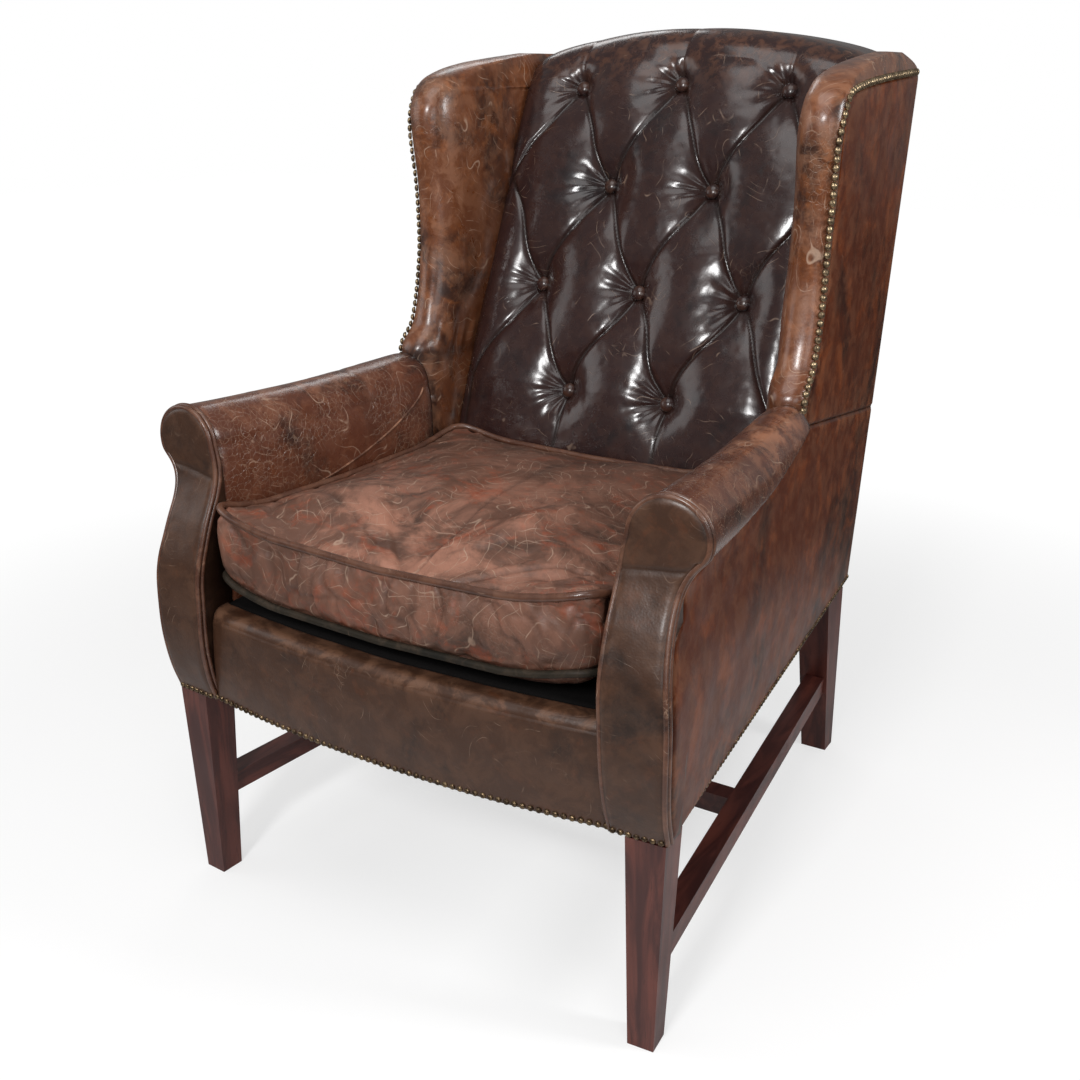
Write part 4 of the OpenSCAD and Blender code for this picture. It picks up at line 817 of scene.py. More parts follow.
# Height of the padding over the button plane. a and b run from 0 on the two families of diagonal creases to 1
# halfway between them. Each button draws the face into an oval dimple, e^-(distance ^ 1.6), and between the
# creases a pillow swells as a power of a(2 - a) b(2 - b), so that the folds are sharp. Close to a button the
# leather is gathered into pleats, cosines of the angle round the button that die away with the distance,
# sooner on the right than on the left
def tuftHeight(x, s):
    q, p = chair["rowPitch"], chair["pitch"]
    place = np.stack([x, s, 0 * x], -1)
    v = np.clip(s / q, -(chair["buttonRows"] - 1), 0)
    bend = 0.030 * np.sin(2 * np.pi * v) * np.clip(-s / q, 0, 1)
    u = x / p + 0.022 * softNoise(place, 70, 3) * unit(np.abs(np.sin(np.pi * v)) * 2)
    w = tufting["creaseWidth"]
    a = np.sqrt(np.sin(np.pi * (u + v / 2 + bend)) ** 2 + w * w) - w
    b = np.sqrt(np.sin(np.pi * (u - v / 2 + bend)) ** 2 + w * w) - w
    arcs = (unit(a) * (2 - unit(a)) * unit(b) * (2 - unit(b))) ** tufting["round"]
    level = np.ones_like(x)
    for bx, bs in buttonPlaces():
        oval = np.hypot((x - bx) / tufting["dimpleAcross"], (s - bs) / tufting["dimpleUp"])
        level = level * (1 - np.exp(-oval ** 1.6))
    h = chair["pillow"] * (tufting["dimpleShare"] * level + (1 - tufting["dimpleShare"]) * arcs)
    h = h - tufting["groove"] * np.exp(-(np.minimum(a, b) / tufting["grooveWidth"]) ** 2)
    over = unit(np.maximum(0, s) / 62)
    under = unit((-s / q - chair["buttonRows"] + 1) / 0.6)
    flute = tufting["edge"] * (1 - 0.2 * (1 - unit(a)) ** 3 * (1 - ease(over)))
    h = blendTo(blendTo(h, flute, ease(over)), tufting["edge"], under)
    # painted shade: the second value darkens the creases between the pillows
    creaseShade = blendTo(unit(0.05 + 0.95 * np.minimum(a, b) / 0.09), 1, ease(over * 1.6))
    for n, (bx, bs) in enumerate(buttonPlaces()):
        dx, ds = x - bx, s - bs
        r = np.hypot(dx, ds)
        angle = np.arctan2(ds, dx)
        turn = n * 1.7 + 0.9 * np.sin(angle + n) + 0.4 * np.sin(3 * angle + 2 * n)
        pleats = np.abs(np.cos(tufting["gathers"] / 2 * angle + turn)) ** 2.2
        uneven = 0.55 + 0.3 * np.sin(angle * 2 + n * 2.3) + 0.3 * np.sin(angle * 5 + n)
        leftward = 0.62 + 0.38 * np.cos(angle - np.pi * 1.08)
        reach = np.exp(-(np.maximum(r - 12, 0)
                         / (tufting["gatherReach"] * leftward * (0.75 + 0.6 * uneven))) ** 2)
        reach = reach * unit((r - 6) / 8) * leftward
        pit = tufting["pitDepth"] * np.exp(-(r / tufting["pitRadius"]) ** 2)
        h = h - tufting["gatherDepth"] * pleats * unit(0.4 + uneven) * reach - pit
        # painted shade: darker in the pleat grooves and in the pit round each button
        creaseShade = creaseShade * (1 - 0.35 * pleats * unit(uneven) * reach) * (1 - 0.75 * np.exp(-(r / 17) ** 4))
    return h, unit(creaseShade)


# The face is a grid: across it at even steps, and up it along the padded plane, round the crest on a circle
# and back to the outside back. The height pushes each point out square to this path
def makeInsideBack():
    half = chair["insideLow"] / 2
    across = np.linspace(-1, 1, int(2 * half / tufting["acrossStep"]) | 1)
    turnR = tufting["crestRadius"]
    turnZ = backTopZ - turnR + turnR * buttonSin
    turnS = (turnZ - buttonTopZ) / buttonCos
    lowS = (railTop + 4.6 - buttonTopZ) / buttonCos
    centreY = tuftY(turnZ) + turnR * buttonCos
    runs = np.linspace(lowS, turnS, int((turnS - lowS) / tufting["upStep"]))
    u, s = np.meshgrid(across, runs)
    x = u * half
    edge = 1 - 0.75 * np.abs(u) ** 14
    h, creaseShade = tuftHeight(x, s)
    h = h * edge
    z = buttonTopZ + s * buttonCos
    flat = np.stack([tuftY(z) - h * buttonCos, z + h * buttonSin], -1)
    angles = np.radians(np.linspace(chair["rake"], 90, 34)[1:])
    ut, a = np.meshgrid(across, angles)
    edgeT = 1 - 0.75 * np.abs(ut) ** 14
    top, topCreaseShade = tuftHeight(ut * half, np.full_like(ut, turnS))
    fade = ease((a - angles[0]) / (np.pi / 2 - angles[0]))
    ht = blendTo(top, tufting["edge"], fade * 0.85) * edgeT
    overCrest = np.stack([centreY - (turnR + ht) * np.cos(a), backTopZ - turnR + (turnR + ht) * np.sin(a)],
                         -1)
    yz = np.concatenate([flat, overCrest])
    creaseShade = np.concatenate([creaseShade, blendTo(topCreaseShade, 1, fade)])
    u = np.concatenate([u, ut])
    lift = unit((yz[..., 1] - buttonTopZ + 76) / (2 * 76))
    zz = yz[..., 1] - archFall(u * half) * lift
    front = np.stack([u * insideX(zz), yz[..., 0], zz], -1)
    rearRows = []
    edgeRow = 1 - 0.6 * np.abs(across) ** 12
    crown = chair["height"] - 12 * (1 - edgeRow) - archFall(across * half)
    for back, drop in ((30, 0), (18, 0.4), (10, 2), (5, 5), (2, 9), (0.5, 13), (0, 18), (0, 40)):
        zr = crown - drop
        rearRows.append(np.stack([across * insideX(zr), rearY(np.minimum(zr, backTopZ)) - 5.3 - back, zr],
                                 -1))
    rearTop = front[-1].copy()
    rearRows = [blendTo(rearTop, rearRows[0], t) for t in (0.35, 0.7)] + rearRows
    front = np.concatenate([front, np.array(rearRows)])
    creaseShade = np.concatenate([creaseShade, np.ones((len(rearRows), len(across)))])
    ripple = 0.5 * softNoise(front, (26, 26, 40), 5) + 0.25 * softNoise(front, 9, 6)
    front[..., 1] -= ripple * unit((front[..., 2] - 400) / 60)
    back = front.copy()
    zb = np.minimum(front[..., 2], crestZ - 2)
    rearLimit = rearY(np.minimum(zb, backTopZ)) - 6
    back[..., 1] = np.minimum(np.maximum(front[..., 1] + 3, tuftY(zb) + 33), rearLimit)
    back[..., 2] = np.minimum(front[..., 2], crown[None] - 30)
    back[..., 1] = np.where(front[..., 2] > crestZ, np.minimum(front[..., 1] + 30, rearY(backTopZ) - 6),
                            back[..., 1])
    piece = addPad("insideBack", front, back[:, [0, -1]], leathers["darkLeather"])
    top = ease((front[..., 2] - 990) / 90)
    hidden = np.zeros(2 * len(back))
    keepWearAndShade(piece, (creaseShade, hidden), (0.06 + 0.34 * top, hidden))
    finish(piece, "frame", "leather_dark", "inside_back")
    return piece


# A covered button: a low dome whose edge turns in, a profile turned about the button's own axis
def makeButtons():
    profile = np.array([(0.0, 6.6), (2.5, 6.4), (5.0, 5.7), (7.2, 4.5), (8.7, 2.9), (9.4, 1.2), (9.2, -0.6),
                        (7.5, -2.2), (4.0, -3.0), (0.0, -3.0)])
    angles = np.linspace(0, 2 * np.pi, 28, endpoint=False)
    points, faces = [], []
    for bx, bs in buttonPlaces():
        h, _ = tuftHeight(np.array([bx]), np.array([bs]))
        z = buttonTopZ + bs * buttonCos
        lift = unit((z - buttonTopZ + 76) / (2 * 76))
        centre = np.array([bx / (chair["insideLow"] / 2) * insideX(z), tuftY(z) - h[0] * buttonCos,
                           z + h[0] * buttonSin - archFall(bx) * lift])
        outward = np.array([0, -buttonCos, buttonSin])
        up = np.array([0, buttonSin, buttonCos])
        side = np.array([1.0, 0, 0])
        start = sum(len(p) for p in points)
        ring = profile[1:-1] * tufting["buttonSize"]
        body = centre + (ring[:, 0, None, None]
                         * (side * np.cos(angles)[:, None] + up * np.sin(angles)[:, None])[None]
                         + (ring[:, 1] + tufting["buttonLift"])[:, None, None] * outward)
        tip = centre + outward * (profile[0, 1] * tufting["buttonSize"] + tufting["buttonLift"])
        end = centre + outward * (profile[-1, 1] * tufting["buttonSize"] + tufting["buttonLift"])
        r, c = body.shape[:2]
        points.append(np.concatenate([body.reshape(-1, 3), [tip, end]]))
        faces += [tuple(i + start for i in f) for f in loftFaces(r, c)]
    piece = addMesh("backButtons", np.concatenate(points), faces, leathers["darkLeather"])
    # a little painted shade over the whole button
    keepWearAndShade(piece, 0.9, 0.25)
    return finish(piece, "frame", "leather_dark", "back_buttons")


makeInsideBack()
makeButtons()
print("inside back done")

# Sides: each is drawn for the right and mirrored for the left

cover = {"worn": 0.2, "edgeRound": 4, "edgeDrop": 2.6, "swell": 1.5}


# How far a panel's edge drops back: a quarter circle over the last few mm from its nearest edge
def edgeDrop(distance, radius, drop):
    t = unit(1 - distance / radius)
    return drop * (1 - np.sqrt(np.maximum(0, 1 - t * t)))


# An outer cover: its grid swells a little, evened out to nothing at the edge, where it drops back
def sidePanel(name, replaced, points, inner, side, seed):
    r, c = points.shape[:2]
    rows = np.linalg.norm(np.diff(points, axis=0), axis=2)
    cols = np.linalg.norm(np.diff(points, axis=1), axis=2)
    down = np.concatenate([np.zeros((1, c)), np.cumsum(rows, 0)])
    along = np.concatenate([np.zeros((r, 1)), np.cumsum(cols, 1)], axis=1)
    near = np.minimum(np.minimum(down, down[-1:] - down), np.minimum(along, along[:, -1:] - along))
    swell = cover["swell"] * ease(near / 60) + 0.7 * softNoise(points, (60, 60, 40), seed) * ease(near / 25)
    points = points.copy()
    points[..., 0] += swell - edgeDrop(near, cover["edgeRound"], cover["edgeDrop"])
    if side < 0:
        points, inner = mirrorX(points), mirrorX(inner)
    piece = addShell(name + sideWord(side), points, inner, leathers["sideLeather"])
    behind = np.zeros(near.size)
    # painted shade: darker along the edge, where the panel drops back
    keepWearAndShade(piece, (0.25 + 0.75 * unit(near / 3), behind),
             (cover["worn"] * np.exp(-near / 14) + cover["worn"] * 0.6, behind))
    return finish(piece, "frame", "leather_chestnut", replaced + sideWord(side).lower())


def makeOutsideArm(side):
    y0 = armBackY + gap
    n, rows = 110, 60
    j, i = np.meshgrid(np.linspace(0, 1, n), np.linspace(0, 1, rows))
    yt = blendTo(y0, seamRearY, j)
    yb = blendTo(y0, rearY(skirtZ), j)
    y = blendTo(yb, yt, i)
    topZ = np.where(yt < armEndY, creaseZ(yt), seamZ(yt)) - gap
    z = blendTo(skirtZ, topZ, i)
    # its front edge follows the facing's curve, over the facing's side
    forward = np.minimum(armFaceY(z) + 13, y0) - y0
    forward = forward * (1 - ease((armShare(z) - 0.6) / 0.08))
    y = y + forward * (1 - j) ** 5
    points = np.stack([sideX(y, z) + 3.0 * (1 - j) ** 6, y, z], -1)
    inner = points - np.array([chair["cover"], 0, 0])
    return sidePanel("outsideArm", "outside_arm_", points, inner, side, 11)


def makeOutsideWing(side):
    n, rows = 70, 84
    lowZ = seamFrontZ + 3
    j, i = np.meshgrid(np.linspace(0, 1, n), np.linspace(0, 1, rows))
    lowY = blendTo(float(nailY(lowZ)) + chair["nail"], seamRearY, j)
    topY = blendTo(nailTurnY + chair["nail"], rearY(cornerZ), j ** 1.6)
    z = blendTo(seamZ(lowY), nailRunZ(topY) - chair["nail"], i)
    frontZ = blendTo(seamZ(lowY[:, :1]), nailRunZ(topY[:, :1]) - chair["nail"], i)
    front = nailRunY(frontZ) + chair["nail"] + chair["cover"] / 2
    across = blendTo(j, (topY - topY[:, :1]) / (topY[:, -1:] - topY[:, :1]), i)
    y = blendTo(front, rearY(z), across)
    points = np.stack([sideX(y, z), y, z], -1)
    inner = points - np.array([chair["cover"], 0, 0])
    return sidePanel("outsideWing", "outside_wing_", points, inner, side, 23)


wing = {"step": 4.0, "crestRise": 15, "innerDepth": 44, "bulge": 13, "bulgeLow": 120, "bulgeTop": 115,
        "wave": 1.3, "ripple": 0.6, "gatherZ": 668, "gather": 0.8, "tuckZ": 645}


# The inside of a wing and its rolled front edge, one ring at each height: back along the inner face, round
# the front in two quarter ellipses, the inner one deeper, and along the outside to the nails. The face swells
# as the sine of the way across it, and eases flat at the arm and under the top
def makeWingPad(side):
    notchZ = crestZ + 30.3
    lowZ = rollLowZ - 6.3 + 0.3
    topZ = cornerZ + wing["crestRise"]
    top = notchZ + 1 + (topZ - notchZ - 1) * np.sin(np.radians(np.linspace(0, 90, 26)))
    zs = np.concatenate([np.arange(railTop + 1, notchZ, wing["step"]), top])[:, None]
    t = unit((zs - notchZ - 1) / (topZ - notchZ))
    shrink = (1 - np.sqrt(np.maximum(0, 1 - t * t))) * chair["wingPad"]
    y0 = wingY(zs)
    yn = nailRunY(zs)
    x0 = insideX(zs) + gap + shrink / 2
    isOpen = zs <= notchZ
    rear = np.where(isOpen, np.maximum(tuftY(zs) + 34, y0 + 40),
                    blendTo(rearY(np.minimum(zs, cornerZ)) - 5.3, y0 + 64, 0.8 * t ** 6))
    rear = np.minimum(rear, rearY(np.minimum(zs, cornerZ)) - 5.3)
    outY = np.minimum(yn, rear - 0.6) + chair["nail"] - 1
    wide = np.where(zs <= lowZ, x0 + chair["wingPad"],
                    sideX(y0 + wingLip, zs) - np.where(zs <= seamFrontZ, 5.3, 0) - shrink)
    ry = np.where(isOpen, wingLip, np.minimum(wingLip, (rear - y0) / 3))
    k = np.linspace(0, 1, 46)[None]
    ryIn = np.minimum(wing["innerDepth"], (rear - y0) * 0.5)
    inner = np.stack([x0 + 0 * k, blendTo(rear, y0 + ryIn, k), zs + 0 * k], -1)
    a = np.pi * np.linspace(0, 1, 44)[None, 1:]
    depth = np.where(a < np.pi / 2, ryIn, ry)
    arc = np.stack([(x0 + wide) / 2 - (wide - x0) / 2 * np.cos(a), y0 + depth - depth * np.sin(a),
                    zs + 0 * a], -1)
    m = np.linspace(0, 1, 12)[None, 1:]
    outerY = blendTo(y0 + ry, np.maximum(outY, y0 + ry + 1), m)
    outer = np.stack([blendTo(wide, np.where(zs <= seamFrontZ, wide, sideX(outY, zs) - shrink), m), outerY,
                      zs + 0 * m], -1)
    tuckX = np.maximum(outer[:, -1, :1] - 5, x0 + 8)
    tuck = np.stack([tuckX, outer[:, -1, 1:2] + 1, zs], -1)
    backX = np.where(isOpen, x0 + chair["wingPad"] * 0.9, sideX(rear, zs) - 5.3 - shrink)
    backs = np.stack([np.stack([backX, blendTo(outer[:, -1, 1:2] + 2, rear, f), zs], -1)[:, 0]
                      for f in (0.3, 1.0)], 1)
    rings = np.concatenate([inner, arc, outer, tuck, backs], axis=1)
    r, c = rings.shape[:2]
    faceSpan = len(k[0])
    innerSpan = faceSpan + int((a < np.pi / 2).sum())
    outward = unit((rear - rings[:, :innerSpan, 1]) / (rear - y0))
    pad = wing["bulge"] * np.sin(np.pi * outward ** 0.85)
    pad = pad * ease((zs - 650) / wing["bulgeLow"]) * ease((topZ - zs) / wing["bulgeTop"])
    rings[:, :innerSpan, 0] -= pad
    seed = 31 if side > 0 else 47
    wave = wing["wave"] * softNoise(rings, (60, 60, 110), seed)
    wave = wave + wing["ripple"] * softNoise(rings, (22, 22, 60), seed + 1)
    gatherZ = np.exp(-((zs - wing["gatherZ"]) / 26.0) ** 2)
    gather = gatherZ * (wing["gather"] * np.sin(rings[..., 1] / 4.2 + 1.5 * np.sin(rings[..., 2] / 19)))
    push = wave + gather
    rings[:, :faceSpan, 0] -= push[:, :faceSpan]
    arcSlice = slice(faceSpan, faceSpan + a.shape[1])
    rings[:, arcSlice, 0] += push[:, arcSlice] * -np.cos(a)
    rings[:, arcSlice, 1] -= push[:, arcSlice] * np.sin(a)
    if side < 0:
        rings = mirrorX(rings)
    word = sideWord(side)
    piece = addLoft("wingPad" + word, rings, leathers["chestnutLeather"])
    # painted shade: the face is darkened towards the back where it meets the inside back, and in a band at
    # the tuck above the arm
    creaseShade = np.ones((r, c))
    inward = np.linspace(0, 1, faceSpan)[None] * (rear - y0)
    creaseShade[:, :faceSpan] *= ease(inward / 12) * (0.72 + 0.28 * ease(inward / 45))
    creaseShade *= 1 - 0.6 * np.exp(-((zs - wing["tuckZ"]) / 10.0) ** 2)
    worn = np.full((r, c), 0.22)
    worn[:, arcSlice] = 0.35
    keepWearAndShade(piece, (creaseShade, [1, 1]), (worn, [0, 0]))
    finish(piece, "frame", "leather_chestnut", "wing_pad_" + word.lower())
    return piece


arm = {"narrow": 0.78, "wave": 0.9, "ripple": 0.22, "wrinkle": 0.8, "endTuck": 2.0, "frontTuck": 1.2,
       "worn": 0.16, "wornRight": (0.8, -90), "wornLeft": (0.35, -230), "wornReach": 150.0}


# The inside of an arm and its roll: a section of the inner face and the roll's arc, carried from the arm
# front to the wing. The roll dips in the middle, narrows at its end, and wrinkles across its top
def makeArmPad(side):
    ys = np.concatenate([np.linspace(armBackY + 0.3, armBackY + 12, 8)[:-1],
                         np.linspace(armBackY + 12, armEndY - 0.3, 104)])[:, None]
    dip, end, crease = rollDip(ys), rollEnd(ys), creaseZ(ys)
    narrow = blendTo(1, arm["narrow"], armRun(ys))
    f = np.linspace(0, 1, 44)[None]
    zf = blendTo(railTop + gap, rollZ - dip, f)
    face = np.stack([armInX(zf) + armShift(ys), ys + 0 * zf, zf], -1)
    q = np.linspace(0, 1, 60)[None, 1:]
    a = np.radians(180 - q * (180 - end))
    reach = chair["roll"] * np.cos(a)
    arc = np.stack([rollX + armShift(ys) + reach * np.where(np.cos(a) > 0, narrow, 1), ys + 0 * a,
                    rollZ - dip + chair["roll"] * np.sin(a)], -1)
    railX = sideX(ys, np.full_like(ys, rollLowZ - 21.3)) - 5.3 - 3 + 0.3
    innerX = rollX - chair["roll"] + 24 + armShift(ys)
    low = np.stack([np.stack([sideX(ys, crease), ys, crease], -1), np.stack([railX, ys, crease], -1),
                    np.stack([railX, ys, 0 * ys + rollLowZ - 6], -1),
                    np.stack([innerX, ys, 0 * ys + rollLowZ - 6], -1),
                    np.stack([innerX, ys, 0 * ys + railTop + 0.3], -1)], 2)[:, 0]
    m = np.linspace(0, 1, 8)[None, 1:-1, None]
    under = arc[:, -1:] * (1 - m) + low[:, :1] * m
    rings = np.concatenate([face, arc, under, low], axis=1)
    outward = np.zeros_like(rings)
    nf = face.shape[1]
    outward[:, :nf, 0] = -1
    outward[:, nf:nf + arc.shape[1], 0] = np.cos(a)
    outward[:, nf:nf + arc.shape[1], 2] = np.sin(a)
    seed = 61 if side > 0 else 83
    wave = arm["wave"] * softNoise(rings, (40, 90, 40), seed)
    wave = wave + arm["ripple"] * softNoise(rings, (20, 16, 20), seed + 1)
    across = -arm["wrinkle"] * creases(rings * np.array([0.35, 1, 0.35]), 34, 0.10, seed + 2)
    across = across * unit((ys + 330) / 80)
    endTuck = -arm["endTuck"] * np.exp(-((ys - armEndY) / 9.0) ** 2)
    endTuck = endTuck - arm["frontTuck"] * np.exp(-((ys - armBackY) / 5.0) ** 2)
    fadeFace = np.ones((1, rings.shape[1]))
    fadeFace[:, :nf] = unit((f - 0.45) / 0.4) * 0.9 + 0.1
    rings = rings + outward * ((wave + across * 0.6) * fadeFace + endTuck)[..., None]
    # painted shade: darker in the wrinkles across the roll, where the roll meets the wing, and on the
    # underside below the roll
    creaseShade = np.clip(1 + 0.35 * across, 0, 1) * (1 - 0.7 * np.exp(-((ys - armEndY) / 8.0) ** 2))
    creaseShade[:, nf + arc.shape[1]:] *= 0.4
    worn = np.full(creaseShade.shape, arm["worn"])
    level, middle = arm["worn" + sideWord(side)]
    rubbed = np.clip(np.sin(a), 0, 1) * np.exp(-((ys - middle) / arm["wornReach"]) ** 2)
    worn[:, nf:nf + arc.shape[1]] = arm["worn"] + level * rubbed
    if side < 0:
        rings = mirrorX(rings)
    word = sideWord(side)
    piece = addLoft("armPad" + word, rings, leathers["armLeather"])
    keepWearAndShade(piece, (creaseShade, [1, 1]), (worn, [0, 0]))
    finish(piece, "frame", "leather_brown", "arm_pad_" + word.lower())
    return piece


# A thin seam on the inside of an arm, from the foot of the wing down to the cushion: a curve over the inner
# face, with a sag of half a sine
def makeArmSeam(side):
    t = np.linspace(0, 1, 60)
    y = blendTo(-16, -300, t)
    z = blendTo(606, 512, t ** 0.72) - 10 * np.sin(np.pi * t)
    path = np.stack([armInX(z) + armShift(y) - 0.4, y, z], -1)
    if side < 0:
        path = mirrorX(path)
    word = sideWord(side)
    seam = addCord("armSeam" + word, path, 1.5, (-float(side), 0, 0), leathers["weltLeather"], sides=8,
                   step=3)
    keepWearAndShade(seam, 1.0, 0.8)
    return finish(seam, "frame", "leather_brown")


facing = {"rows": 170, "columns": 44, "edgeRound": 9, "edgeDrop": 6, "welt": 3.1}


# The facing of an arm: rows from the inner to the outer outline at each height, drawn forward by the belly
# and back under the roll. It falls away in a quarter circle near its edge
def makeArmFront(side):
    rise = np.linspace(0, 1, facing["rows"])
    overRoll = rollZ + (chair["roll"] - gap) * np.sin((rise - 0.8) / 0.2 * np.pi / 2)
    zs = np.where(rise < 0.8, blendTo(skirtZ, rollZ, rise / 0.8), overRoll)[:, None]
    j = (1 - np.cos(np.pi * np.linspace(0, 1, facing["columns"])))[None] / 2
    outX, inX = armOutX(zs), armInX(zs)
    x = blendTo(inX, outX, j)
    near = np.where(zs > rollZ, chair["roll"] - np.hypot(x - rollX, zs - rollZ),
                    np.minimum(x - inX, outX - x))
    near = np.minimum(near, (zs - skirtZ) * 1.5 + 2)
    y = armFaceY(zs) - 5 * (1 - j) + edgeDrop(near, facing["edgeRound"], facing["edgeDrop"])
    seed = 91 if side > 0 else 97
    front = np.stack([x, y, zs + 0 * x], -1)
    front[..., 1] -= (0.9 * softNoise(front, (40, 40, 60), seed)
                      + 0.4 * softNoise(front, 16, seed + 1)) * ease(near / 14)
    neckZ = rollLowZ - 14 + 7 * (j - 0.5) + 3 * softNoise(front, 22, seed + 2)
    neck = np.exp(-((zs - neckZ) / 3.2) ** 2) * ease(near / 8)
    front[..., 1] += 2.0 * neck
    back = front.copy()
    back[..., 1] = np.where((zs > railTop) | (j > 0.98), armBackY, armBackY - 12)
    if side < 0:
        front, back = mirrorX(front), mirrorX(back)
    word = sideWord(side)
    piece = addShell("armFront" + word, front, back, leathers["frontLeather"])
    # painted shade: darker near the facing's edge, where it falls away, and in the crease at the neck under
    # the roll
    creaseShade = (0.3 + 0.7 * unit(near / 5)) * (1 - 0.5 * neck)
    keepWearAndShade(piece, (creaseShade, np.full(near.size, 0.9)),
             (0.12 + 0.25 * np.exp(-near / 8), np.full(near.size, 0.2)))
    finish(piece, "frame", "leather_grey", "arm_front_" + word.lower())
    # double welt: up the inner edge, round the roll and down the outer edge
    up = np.linspace(skirtZ + 1, rollZ, 90)
    angles = np.radians(np.linspace(180, -26, 60))[1:]
    down = np.linspace(rollLowZ, skirtZ + 1, 80)[1:]
    overX, overZ = rollX + chair["roll"] * np.cos(angles), rollZ + chair["roll"] * np.sin(angles)
    overY = armFaceY(overZ) - 5 * (1 - (np.cos(angles) + 1) / 2)
    outline = np.concatenate([np.stack([armInX(up), armFaceY(up) - 5, up], -1),
                              np.stack([overX, overY, overZ], -1),
                              np.stack([armOutX(down), armFaceY(down), down], -1)])
    smooth = outline.copy()
    for _ in range(6):
        smooth[1:-1] = (smooth[:-2] + 2 * smooth[1:-1] + smooth[2:]) / 4
    tangent = np.gradient(smooth, axis=0)
    away = np.stack([-tangent[:, 2], 0 * tangent[:, 0], tangent[:, 0]], -1)
    away /= np.linalg.norm(away, axis=1)[:, None]
    made = []
    for n, (out, behind) in enumerate(((-0.6, 4.2), (0.2, 10.6))):
        path = smooth + away * out + np.array([0, behind, 0])
        normals = away
        if side < 0:
            path, normals = mirrorX(path), mirrorX(normals)
        welt = addCord("armWelt%s%d" % (word, n + 1), path, facing["welt"], normals, leathers["weltLeather"],
                       sides=12, step=2.5)
        keepWearAndShade(welt, 1.0, 0.28)
        finish(welt, "frame", "leather_brown")
        made.append(welt)
    return made


for side in (1, -1):
    makeOutsideArm(side)
    makeOutsideWing(side)
    makeWingPad(side)
    makeArmPad(side)
    makeArmSeam(side)
    makeArmFront(side)
print("arms and wings done")

# Front rail, outside back and deck

railLook = {"swell": 3, "lip": 14}


# The front rail's cover: a section up the front, over a quarter circle and back to the deck, carried along
# the bow between the arm fronts
def makeRailCover():
    lipZ = skirtZ + chair["railHeight"]
    t = chair["railPad"]
    zs = np.linspace(skirtZ, lipZ - t, 44)
    swell = railLook["swell"] * np.sin(np.pi * (zs - skirtZ) / (lipZ - skirtZ)) ** 0.8
    bottom = edgeDrop(zs - skirtZ, 4, 3)
    turn = np.radians(np.linspace(0, 90, 16)[1:])
    sectionIn = np.concatenate([bottom - swell, t - t * np.cos(turn),
                                np.linspace(t, t + railLook["lip"], 8)[1:]])
    sectionZ = np.concatenate([zs, lipZ - t + t * np.sin(turn), np.full(7, lipZ)])
    j = np.linspace(-1, 1, 150)[None]
    z = sectionZ[:, None]
    half = armInX(z) - 0.6
    x = j * half
    y = bowY(x) + sectionIn[:, None]
    points = np.stack([x, y, z + 0 * x], -1)
    edge = (1 - np.abs(j)) * half
    points[..., 1] -= (0.9 * softNoise(points, (70, 70, 40), 7)
                       + 0.35 * softNoise(points, 20, 8)) * unit(edge / 20)
    points[..., 1] += edgeDrop(edge, 8, 4)
    inner = points.copy()
    inner[..., 1] = np.maximum(bowY(x) + t, points[..., 1] + 0.5)
    inner[..., 2] = np.where(z > lipZ - t, lipZ - t, z)
    piece = addShell("frontRailCover", points, inner, leathers["frontLeather"])
    near = np.minimum(edge, np.abs(z - skirtZ) + 0 * edge)
    worn = 0.15 + 0.45 * np.exp(-((z - lipZ + 5) / 9.0) ** 2) + 0 * near
    # painted shade: darker near the ends and the bottom edge, where the cover falls away
    keepWearAndShade(piece, (0.3 + 0.7 * unit(near / 6), np.full(near.size, 0.3)), (worn, np.full(near.size, 0.1)))
    finish(piece, "frame", "leather_grey", "front_rail_cover")


def makeOutsideBack():
    i, j = np.meshgrid(np.linspace(0, 1, 110), np.linspace(-1, 1, 90), indexing="ij")
    topX = rearX(cornerZ) - 5.3
    lowX = rearX(skirtZ) - 5.3
    x = j * blendTo(lowX, topX, i)
    z = blendTo(skirtZ, backTopZ - archFall(x), i)
    y = rearY(z)
    points = np.stack([x, y, z], -1)
    height = z - skirtZ
    near = np.minimum(np.minimum(height, backTopZ - archFall(x) - z), (1 - np.abs(j)) * topX)
    uneven = 0.8 * softNoise(points, (70, 70, 60), 15) * ease(near / 25)
    points[..., 1] += 1.8 * ease(near / 90) + uneven - edgeDrop(near, 5, 3)
    inner = points.copy()
    inner[..., 1] = rearY(z) - 5
    piece = addShell("outsideBack", points, inner, leathers["sideLeather"])
    behind = np.zeros(near.size)
    # painted shade: darker along the edge, where the panel drops back
    keepWearAndShade(piece, (0.3 + 0.7 * unit(near / 4), behind), (0.1 + 0.2 * np.exp(-near / 15), behind))
    finish(piece, "frame", "leather_chestnut", "outside_back")


# The deck under the cushion: a low pad of black cloth, highest in the middle
def makeDeck():
    half = float(armInX(np.array(float(deckZ)))) - 3
    rearEdge = tuftY(railTop + 4.6) - 24
    i, j = np.meshgrid(np.linspace(0, 1, 60), np.linspace(-1, 1, 60), indexing="ij")
    x0 = j * half
    y0 = bowY(x0) + chair["railPad"] + 14.6
    y = blendTo(y0, rearEdge, i)
    x = x0 + np.sign(j) * np.abs(j) * armShift(blendTo(armBackY, rearEdge, i))
    z = deckZ - 5 * (j ** 4 + (2 * i - 1) ** 4)
    points = np.stack([x, y, z], -1)
    points[..., 2] += 0.6 * softNoise(points, 45, 21) - 0.6
    inner = points.copy()
    inner[..., 2] = railTop + 4.6
    piece = addShell("deckCloth", points, inner, blackCloth)
    finish(piece, "frame", "black_cloth", "seat_deck")


makeRailCover()
makeOutsideBack()
makeDeck()
print("rail, back and deck done")

# Cushion

